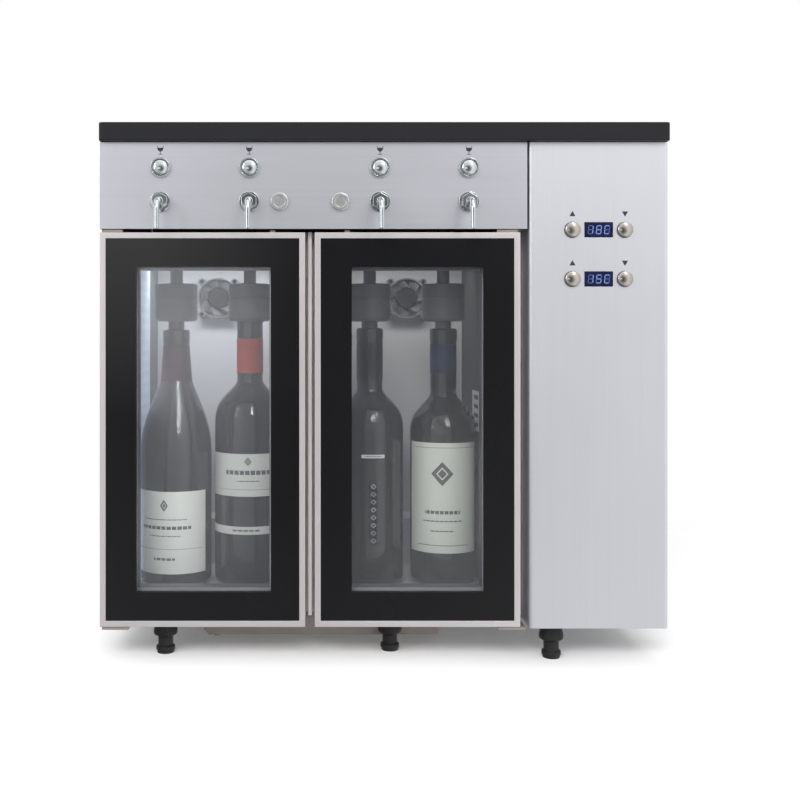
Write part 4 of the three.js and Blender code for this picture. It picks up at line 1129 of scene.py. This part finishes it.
screw_inset, screws_per_side = 8 * mm, 4
back_screw_radius, hinge_screw_radius = 3.2 * mm, 2.6 * mm
screw_pitch = (rear_high.z - rear_low.z - 2 * screw_inset) / (screws_per_side - 1)
back_places = [
    Vector((x, rear_high.y, rear_low.z + screw_inset + screw_pitch * row))
    for x in (rear_low.x + screw_inset, rear_high.x - screw_inset) for row in range(screws_per_side)
]
build_screws("back_screws", back_places, Matrix.Rotation(-math.pi / 2, 4, "X"), back_screw_radius)
hinge_depths = (26 * mm, 46 * mm)
hinge_places = [
    Vector((middle(plate).x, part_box(plate)[0].y + depth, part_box(plate)[0].z))
    for plate in ("lower_hinge_left", "lower_hinge_right") for depth in hinge_depths
]
build_screws("hinge_screws", hinge_places, Matrix.Rotation(math.pi, 4, "X"), hinge_screw_radius)
report("screws")

# %% [markdown]
# Behind each door is a lined compartment. Its walls keep the CAD shape, and their edges are rounded the way
# a formed liner's are. A lit diffuser runs up each left wall. It is a piece of the machine, so it is a real
# strip with its own bright finish, and lamps beside it and under the ceiling carry its light. Thin dark
# sheets of painted shade cover the left wall behind the diffuser and the whole right wall of the right
# compartment.
# There a slotted grille guards the temperature sensor, and a black block behind it paints shade over its
# hood.

# %% Compartments
diffuser = Finish("light_panel")
rows_up = diffuser.along(diffuser.place(), "Z") * 520.0
dots = diffuser.node("ShaderNodeMath", {"operation": "SINE"}, [rows_up]) * 0.5 + 0.5
diffuser.surface(diffuser.tint(dots, (0.3, 0.34, 0.4), (0.38, 0.42, 0.48)), 0.35 + dots * 0.1, others={
    "Emission Color": diffuser.tint(dots, (0.5, 0.62, 0.82), (0.62, 0.73, 0.92)), "Emission Strength": 0.4,
})

wall = 19.5 * mm
floor_level, ceiling_level, panel_gap = 57 * mm, 418 * mm, 2 * mm
liner_edge, diffuser_edge, shade_panel_edge = 1.2 * mm, 0.6 * mm, 0.4 * mm
diffuser_thickness, shade_panel_thickness = 3 * mm, 1.5 * mm
diffuser_depths = (92 * mm, 166 * mm)  # from the front, as the next two
left_shade_depths, right_shade_depths = (172 * mm, 236 * mm), (36 * mm, 236 * mm)
left_wall, right_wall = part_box("cell_left")[0].x + wall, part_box("cell_right")[1].x - wall


def wall_panel(name, start, end, depths, width, finish):
    """An upright panel between two distances across, from one depth to another, floor to ceiling."""
    near, far = depths
    panel_low = (start, front + near, floor_level + panel_gap)
    box_piece(name, panel_low, (end, front + far, ceiling_level - panel_gap), width, finish, "cell_lining")


for side in sides:
    rounded_copy(f"cell_{side}", f"liner_{side}", "cell_lining", liner_edge)
for side in sides:
    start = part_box(f"cell_{side}")[0].x + wall
    end = start + diffuser_thickness
    wall_panel(f"light_panel_{side}", start, end, diffuser_depths, diffuser_edge, "light_panel")
# painted shade: dark sheets laid on the walls where the compartments lie in shade
wall_panel("shade_panel_left", left_wall, left_wall + shade_panel_thickness, left_shade_depths, shade_panel_edge, "painted_shade_grey")
wall_panel("shade_panel_right", right_wall - shade_panel_thickness, right_wall, right_shade_depths, shade_panel_edge, "shadow_grey")
report("compartments")

# %% Sensor guard
guard_low = Vector((right_wall - 3.9 * mm, front + 92 * mm, 225 * mm))
guard_high = Vector((right_wall - 3.3 * mm, front + 140 * mm, 269 * mm))
slot_count, slot_inset, slot_share, slot_rounding = 4, 9 * mm, 0.48, 1.8 * mm
block_back, block_inset, block_edge = 167 * mm, 0.5 * mm, 0.3 * mm
pitch = (guard_high.z - guard_low.z) / (slot_count + 0.4)
tools = bmesh.new()
for index in range(slot_count):
    bottom = guard_low.z + pitch * (index + 0.45)
    slot_low = (guard_low.x - mm, guard_low.y + slot_inset, bottom)
    slot_high = (guard_high.x + mm, guard_high.y - slot_inset, bottom + pitch * slot_share)
    join_into(tools, rounded_box(slot_low, slot_high, slot_rounding))
grille = cut_through(box_mesh(guard_low, guard_high), tools)
make_piece(grille, "guard_grille", "guard_plastic", "cell_lining")
# painted shade: a black block behind the grille and over the sensor's hood
block_low = (guard_high.x - 0.1 * mm, guard_low.y + mm, guard_low.z + block_inset)
block_high = (right_wall - mm, front + block_back, guard_high.z - block_inset)
box_piece("guard_shade_block", block_low, block_high, block_edge, "black_plastic")
report("sensor guard")

# %% Compartment lamps
lamp_depth, strip_depth, strip_level = 165 * mm, 145 * mm, 0.27
cold, warm = (0.95, 0.96, 1.0), (1.0, 0.96, 0.93)


def cell_lamp(name, place, direction, size, watts, tint):
    lamp = soft_lamp(name, place, place + Vector(direction), size, watts)
    lamp.data.color = tint
    lamp.visible_glossy = False


for side, watts, tint in (("left", 0.29, cold), ("right", 0.165, warm)):
    ceiling_place = Vector((middle(f"cell_{side}").x, front + lamp_depth, ceiling_level - 5 * mm))
    cell_lamp(f"{side}_ceiling_lamp", ceiling_place, (0.0, 0.2, -1.0), (0.14, 0.03), watts, tint)
strip_place = Vector((left_wall + 4 * mm, front + strip_depth, strip_level))
cell_lamp("left_strip_lamp", strip_place, (1.0, 0.1, 0.0), (0.17, 0.03), 0.17, cold)
print("compartment lamps ready")

# %% [markdown]
# A small axial fan moves the air in each compartment. Its frame is a round duct with four screw lugs and
# four struts that carry the motor. The rotor has a domed hub and seven blades. A blade starts as a flat
# grid, and each of its points is then turned about the hub by an angle that grows with its place along the
# chord, which sweeps and pitches it at once. The hub is a painted shade of black, darker than the grey
# blades.

# %% Fans
duct_bore, duct_radius, lug_bore, lug_radius, lug_spread = 23 * mm, 25 * mm, 2.2 * mm, 4.3 * mm, 20 * mm
motor_radius, motor_depth, motor_edge, strut_half = 12 * mm, 2.5 * mm, 0.4 * mm, 1.5 * mm
hub_radius, tip_radius, blade_thickness = 12.5 * mm, 21.8 * mm, 0.9 * mm
blade_count, blade_sweep, blade_pitch = 7, math.radians(34), 0.8


def build_fan(side):
    low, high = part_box(f"fan_frame_{side}")
    place = middle(f"fan_frame_{side}", "y")
    depth = high.y - low.y
    mesh = turned(sleeve(duct_bore, duct_radius, -depth, 0.0, 0.6 * mm, 0.8 * mm), place, True)
    lug = sleeve(lug_bore, lug_radius, -depth, 0.0, 0.5 * mm, 0.5 * mm)
    for x in (-lug_spread, lug_spread):
        for z in (-lug_spread, lug_spread):
            turned(lug, place + Vector((x, 0.0, z)), True, 24, mesh)
    for quarter in range(4):
        strut = box_mesh((-strut_half, depth - motor_depth, 0.0), (strut_half, depth, duct_bore + mm))
        turn = Matrix.Translation(place) @ Matrix.Rotation(math.pi / 2 * quarter + math.pi / 4, 4, "Y")
        transform(strut, turn)
        join_into(mesh, strut)
    turned(rod(motor_radius, -depth, motor_depth - depth, motor_edge), place, True, mesh=mesh)
    make_piece(mesh, f"fan_duct_{side}", "fan_plastic", "black_plastic", f"fan_frame_{side}")

# %% Fan rotors
def build_blade(depth):
    blade = bmesh.new()
    bmesh.ops.create_grid(blade, x_segments=6, y_segments=6, size=1.0)
    for vert in blade.verts:
        reach, chord = (vert.co.x + 1) / 2, vert.co.y
        radius = hub_radius - 0.4 * mm + (tip_radius - hub_radius) * reach
        angle = chord * blade_sweep / 2 + reach * 0.25
        rise = depth / 2 + chord * depth / 2 * blade_pitch
        vert.co = Vector((radius * math.cos(angle), rise, radius * math.sin(angle)))
    bmesh.ops.solidify(blade, geom=blade.faces[:], thickness=blade_thickness)
    face_outwards(blade)
    return blade


def build_rotor(side):
    body = f"fan_rotor_{side}"
    low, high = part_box(body)
    place = middle(body, "y")
    depth = high.y - low.y
    mesh = turned(rod(hub_radius, -depth, 0.0, 1.6 * mm), place, True)
    for index in range(blade_count):
        blade = build_blade(depth)
        turn = Matrix.Translation(place) @ Matrix.Rotation(2 * math.pi * index / blade_count, 4, "Y")
        transform(blade, turn)
        join_into(mesh, blade)
    # painted shade: the hub is black, darker than the grey plastic of the blades
    rotor = make_piece(mesh, f"fan_blades_{side}", "black_plastic", replaces=body, body=body)
    second_finish(rotor, "fan_plastic", lambda face: (face.center - place).xz.length > hub_radius + mm)


for side in sides:
    build_fan(side)
    build_rotor(side)
report("fans")

# %% [markdown]
# A bottle is blown glass with a hollow foot, a heel, a shoulder and a lip. Its outline is a smooth curve
# through a few points, so the points are joined by a curve that passes through each, and the outline is
# then spun. The first bottle has long sloping shoulders and the other three high ones. A lamp of their own,
# linked to the bottles alone, gives them their long glints without brightening the metal.

# %% Bottles
Shape = namedtuple("Shape", "body_share shoulder_share height_shares width_shares mouth")
sloping_shares = ((0.0, 0.2, 0.42, 0.62, 0.82, 1.0), (1.0, 0.94, 0.74, 0.45, 0.16, 0.0))
high_shares = ((0.0, 0.2, 0.42, 0.64, 0.84, 1.0), (1.0, 0.96, 0.82, 0.52, 0.18, 0.0))
shapes = [
    Shape(0.485, 0.31, *sloping_shares, 280 * mm), Shape(0.6, 0.14, *high_shares, 301 * mm),
    Shape(0.573, 0.132, *high_shares, 282 * mm), Shape(0.555, 0.135, *high_shares, 281.5 * mm),
]
neck_radius, lip_height, lip_proud = 14.5 * mm, 14 * mm, 0.7 * mm
below_shoulder, above_shoulder = 12 * mm, 10 * mm
punt_height, heel_width, neck_wall, neck_depth = 18 * mm, 6 * mm, 3.5 * mm, 26 * mm


def curve_through(points, steps=6):
    """Points on a smooth curve that passes through the given ones."""
    padded = [points[0], *points, points[-1]]
    curve = []
    for before, start, end, after in zip(padded, padded[1:], padded[2:], padded[3:]):
        for step in range(steps):
            share = step / steps
            curve.append(tuple(
                0.5 * (2 * b + (c - a) * share + (2 * a - 5 * b + 4 * c - d) * share**2
                       + (3 * b - a - 3 * c + d) * share**3)
                for a, b, c, d in zip(before, start, end, after)
            ))
    return [*curve, points[-1]]


def bottle_outline(number):
    """The radius of a bottle's body, and its outline from the body to the neck."""
    low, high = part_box(f"bottle_{number}")
    shape = shapes[number - 1]
    radius = (high.x - low.x) / 2
    height = high.z - low.z
    spread = radius - neck_radius
    shoulder = [
        (neck_radius + spread * width, height * (shape.body_share + shape.shoulder_share * up))
        for up, width in zip(shape.height_shares, shape.width_shares)
    ]
    below = (radius, height * shape.body_share - below_shoulder)
    above = (neck_radius, height * (shape.body_share + shape.shoulder_share) + above_shoulder)
    return radius, curve_through([below, *shoulder, above])

# %% Bottle pieces
def build_bottle(number):
    radius, shoulder = bottle_outline(number)
    radius -= 0.1 * mm
    lip, bore = neck_radius + lip_proud, neck_radius - neck_wall
    mouth = shapes[number - 1].mouth
    profile = [
        (0.0, punt_height, 0.0), (radius * 0.45, punt_height / 2, 6 * mm), (radius - heel_width, 0.0, 2 * mm),
        (radius, 5 * mm, 3 * mm), *((across, up, 0.0) for across, up in shoulder),
        (neck_radius, mouth - lip_height, 0.4 * mm), (lip, mouth - lip_height + mm, 0.6 * mm),
        (lip, mouth, 3 * mm), (bore, mouth, 0.8 * mm), (bore, mouth - neck_depth, 0.0),
        (0.0, mouth - neck_depth, 0.0),
    ]
    mesh = turned(profile, middle(f"bottle_{number}", "z"), steps=96)
    bottle = make_piece(mesh, f"wine_bottle_{number}", "bottle_glass", replaces=f"bottle_{number}")
    glinting.objects.link(bottle)


glint_lamp = soft_lamp("glint_lamp", (0.35, -1.9, 1.35), centre, (0.55, 1.0), 26.0)
glinting = bpy.data.collections.new("glinting_bottles")
glint_lamp.light_linking.receiver_collection = glinting
build_each("bottles", build_bottle, taps)

# %% [markdown]
# A capsule is thin foil shrunk round the neck, with fine upright wrinkles. It is cut off below the lip once
# a bottle is opened, so it is a sleeve, spun from an outline that follows the bottle a hair outside it.

# %% Capsules
foils = {  # each bottle's foil: its name, colour, roughness, share of metal, and its top and bottom in mm
    1: ("plum_foil", (0.05, 0.016, 0.03), 0.4, 0.3, 263, 223),
    2: ("orange_foil", (0.33, 0.05, 0.03), 0.45, 0.1, 270, 232),
    3: ("black_foil", (0.012, 0.012, 0.013), 0.25, 0.2, 266, 225),
    4: ("blue_foil", (0.014, 0.024, 0.08), 0.35, 0.2, 264, 232),
}
foil_skin = 0.25 * mm


def build_capsule(number):
    name, base, rough, metallic, *ends = foils[number]
    top, bottom = (height * mm for height in ends)
    foil = Finish(name)
    wrinkles = foil.noise((1100.0, 1100.0, 60.0), 4.0)
    paint = foil.shades(foil.noise(60.0, 2.0), base, 0.8, 1.2)
    foil.surface(paint, rough + (wrinkles - 0.5) * 0.2, foil.relief(wrinkles, 60), metallic)
    low_radius = next((across for across, up in bottle_outline(number)[1] if up >= bottom), neck_radius)
    outer = neck_radius + foil_skin
    profile = [
        (neck_radius, top, 0.0), (outer, top - 0.5 * mm, 0.0), (outer, (top + bottom) / 2, 0.0),
        (low_radius + foil_skin, bottom, 0.0), (low_radius, bottom, 0.0), (neck_radius, top, 0.0),
    ]
    mesh = turned(profile, middle(f"bottle_{number}", "z"), steps=96)
    make_piece(mesh, f"capsule_{number}", name, "bottle_glass")


build_each("capsules", build_capsule, taps)

# %% [markdown]
# Labels are paper that wraps part of the way round: an upright edge is spun through the label's angle, then
# thickened, and gets its own unwrapped coordinates. On these, rows of plain dashes and a lozenge are placed
# by shares of the label's width and height, so one function prints all of them. The third bottle has no
# paper, only a thin line and a printed chain, which is a sheet that is clear between its lozenges.

# %% Labels
Label = namedtuple("Label", "bottle name bottom top start end paper print_shares lozenge_shares")
cream, bright_cream = (0.65, 0.67, 0.63), (0.95, 0.97, 0.92)
grey_green, white = (0.74, 0.77, 0.69), (0.8, 0.82, 0.8)
no_lozenge = (0.0, 0.001, 0.001)  # one too small to show
wide_shares = (
    (0.66, 0.012, 0.5), (0.56, 0.04, 0.6), (0.46, 0.012, 0.36), (0.3, 0.006, 0.9), (0.18, 0.03, 0.24),
)
upper_shares = ((0.56, 0.1, 0.5), (0.36, 0.025, 0.24), (0.16, 0.012, 0.7))
tall_shares = (
    (0.955, 0.005, 0.9), (0.37, 0.03, 0.46), (0.29, 0.012, 0.5), (0.2, 0.012, 0.3), (0.07, 0.008, 0.7),
)
labels = [  # heights in mm and angles in degrees
    Label(1, "wide", 16.2, 105, -85, 60, bright_cream, wide_shares, (0.83, 0.045, 0.075)),
    Label(2, "upper", 99.7, 145.7, -75, 75, cream, upper_shares, (0.82, 0.04, 0.1)),
    Label(2, "lower", 58.7, 67.2, -80, 75, cream, ((0.5, 0.24, 0.3),), no_lozenge),
    Label(3, "thin", 141, 144.7, -17, 22, white, ((0.5, 0.3, 0.7),), no_lozenge),
    Label(4, "tall", 38, 157.3, -76, 58, grey_green, tall_shares, (0.72, 0.14, 0.11)),
]
chain = Label(3, "chain", 47.6, 114.5, -3, 9, None, None, None)
paper_thickness = 0.12 * mm


def label_spot(finish):
    """The place on a label, across and up, as shares of its size."""
    spot = finish.place("UV")
    return finish.along(spot, "X"), finish.along(spot, "Y")


def label_finish(label):
    """Paper printed with rows of dashes, given by height, thickness and length, and a lozenge."""
    finish = Finish(f"label_{label.bottle}_{label.name}")
    across, up = label_spot(finish)
    fibres = finish.noise((40.0, 60.0, 40.0), 5.0, "UV")
    ink = 0.0
    for level, thickness, length in label.print_shares:
        ink = (abs(up - level) < thickness / 2) * (abs(across - 0.5) < length / 2) + ink
    level, half_width, half_height = label.lozenge_shares
    from_middle = abs(across - 0.5) * (1 / half_width) + abs(up - level) * (1 / half_height)
    lozenge = (from_middle < 1.0) * (1.0 - (from_middle > 0.4) * (from_middle < 0.55))
    dashes = ((across * 17.0) % 1.0) < 0.8
    print_share = finish.step(ink * dashes + lozenge, 0.0, 1.0) * 0.9
    paint = finish.tint(print_share, finish.shades(fibres, label.paper, 0.96, 1.03), (0.05, 0.05, 0.06))
    finish.surface(paint, 0.55 + (fibres - 0.5) * 0.2, finish.relief(fibres, 20))

# %% Label pieces
def build_label(label):
    name = f"label_{label.bottle}_{label.name}"
    radius, _ = bottle_outline(label.bottle)
    start, turn = math.radians(label.start), math.radians(label.end - label.start)
    bottom, top = label.bottom * mm, label.top * mm
    mesh = bmesh.new()
    ends = [mesh.verts.new((0.0, -radius, height)) for height in (bottom, top)]
    edge = mesh.edges.new(ends)
    bmesh.ops.rotate(mesh, verts=ends, cent=(0.0, 0.0, 0.0), matrix=Matrix.Rotation(start, 3, "Z"))
    bmesh.ops.spin(
        mesh, geom=[*ends, edge], cent=(0.0, 0.0, 0.0), axis=(0.0, 0.0, 1.0), angle=turn, steps=40,
        use_merge=False, use_duplicate=False,
    )
    face_outwards(mesh)
    first = mesh.faces[:][0]
    if first.normal.xy.dot(first.calc_center_median().xy) < 0:
        bmesh.ops.reverse_faces(mesh, faces=mesh.faces)
    bmesh.ops.solidify(mesh, geom=mesh.faces[:], thickness=-paper_thickness)
    face_outwards(mesh)
    layer = mesh.loops.layers.uv.new("label")
    for face in mesh.faces:
        for loop in face.loops:
            angle = math.atan2(loop.vert.co.x, -loop.vert.co.y)
            loop[layer].uv = ((angle - start) / turn, (loop.vert.co.z - bottom) / (top - bottom))
    move(mesh, middle(f"bottle_{label.bottle}", "z"))
    make_piece(mesh, name, name, "bottle_glass")


for label in labels:
    label_finish(label)
links = Finish("label_3_chain")
across, up = label_spot(links)
fleck = links.noise(300.0, 2.0)
from_middle = abs(across - 0.5) * 2.0 + abs(((up * 8.0) % 1.0) - 0.5) * 2.4
chain_alpha = (from_middle < 0.9) * (from_middle > 0.45)
silver = links.tint(fleck, (0.3, 0.31, 0.34), (0.4, 0.41, 0.44))
links.surface(silver, 0.5 + fleck * 0.2, others={"Alpha": chain_alpha})
build_each("labels", build_label, [*labels, chain])

# %% [markdown]
# A bottle head closes the mouth, lets gas in and draws wine out through a dip tube. It slides up on its
# riser so that a bottle can be put in, so everything here rides on the head's own body. The outline is a
# socket inside a rounded drum with a fine groove round it, and the riser goes up through the compartment's
# ceiling.

# %% Bottle heads
head_bottom, head_height = 346.5 * mm, 41.5 * mm
socket_radius, socket_depth = 16.2 * mm, 18 * mm
stopper_radius, stopper_drop = 8.9 * mm, 12 * mm
riser_radius, washer_proud, washer_height = 7 * mm, 1.5 * mm, 1.2 * mm
groove_depth, groove_heights = 0.7 * mm, (25 * mm, 25.4 * mm, 26.4 * mm, 26.8 * mm)
straw_radius, straw_overlap = 2 * mm, 20 * mm


def build_head(number):
    body = f"bottle_head_{number}"
    low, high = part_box(body)
    place = middle(body)
    place.z = 0.0
    radius = (high.x - low.x) / 2
    bottom, top = head_bottom, head_bottom + head_height
    groove = radius - groove_depth
    washer = riser_radius + washer_proud
    groove_radii = (radius, groove, groove, radius)
    groove_points = [(across, bottom + height, 0.0) for across, height in zip(groove_radii, groove_heights)]
    profile = [
        (0.0, bottom - stopper_drop, 0.0), (stopper_radius, bottom - stopper_drop, 2 * mm),
        (stopper_radius, bottom + socket_depth, 0.0), (socket_radius, bottom + socket_depth, mm),
        (socket_radius, bottom, mm), (radius, bottom, 5 * mm), *groove_points, (radius, top, 2 * mm),
        (washer, top, 0.4 * mm), (washer, top + washer_height, 0.4 * mm),
        (riser_radius, top + washer_height, 0.0), (riser_radius, high.z, 0.0), (0.0, high.z, 0.0),
    ]
    head = turned(profile, place, steps=72)
    make_piece(head, f"head_block_{number}", "head_plastic", "black_plastic", body, body)
    straw = turned(rod(straw_radius, low.z, bottom + straw_overlap), place, steps=20)
    make_piece(straw, f"dip_straw_{number}", "trim_steel", "chrome", body=body)


build_each("bottle heads", build_head, taps)

# %% [markdown]
# The machine stands on moulded levelling feet. From the floor up each has a pad, a thin flange, a waist,
# and a collar that swells where it is gripped to be turned. One outline serves all five.

# %% Feet
foot_outline = (  # radius, height and rounding in mm
    (0, 0, 0), (8.8, 0, 0.6), (8.8, 2.4, 0.3), (9.8, 3, 0.6), (9.8, 7, 0.8), (7.7, 8.2, 1.2),
    (7.9, 17.5, 1.2), (12.2, 19.5, 1.2), (12.6, 23, 1.6), (11.4, 28, 1),
)
foot_top_radius = 10.8 * mm


def build_foot(place_name):
    node = f"foot_{place_name}"
    low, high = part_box(node)
    height = high.z - low.z
    profile = [tuple(size * mm for size in point) for point in foot_outline]
    profile += [(foot_top_radius, height, 0.0), (0.0, height, 0.0)]
    foot = turned(profile, middle(node, "z"), steps=48)
    make_piece(foot, f"levelling_foot_{place_name}", "foot_rubber", replaces=node)


build_each("feet", build_foot, ("front_left", "front_middle", "front_right", "rear_left", "rear_right"))

# %% [markdown]
# The parts inside the control bay and behind the compartments keep their CAD shapes, because only a service
# technician sees them. They still get the finishes that they have in life.

# %% Inner parts
inner_parts = {
    "valve_block": "black_plastic", "control_board": "board_green", "gas_cylinder": "cylinder_paint",
    "gas_regulator": "regulator_brass", "power_supply": "casing_steel", "power_inlet": "black_plastic",
    "heat_sink_left": "sink_aluminium", "heat_sink_right": "sink_aluminium",
}
for node, finish in inner_parts.items():
    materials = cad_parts[node].data.materials
    materials.clear()
    materials.append(finishes[finish])
print("inner parts:", len(inner_parts))

# %% [markdown]
# The last step prints the dressed model's box.

# %% Sizes
low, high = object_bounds()
print("visual box", [round(value, 4) for value in low], [round(value, 4) for value in high])
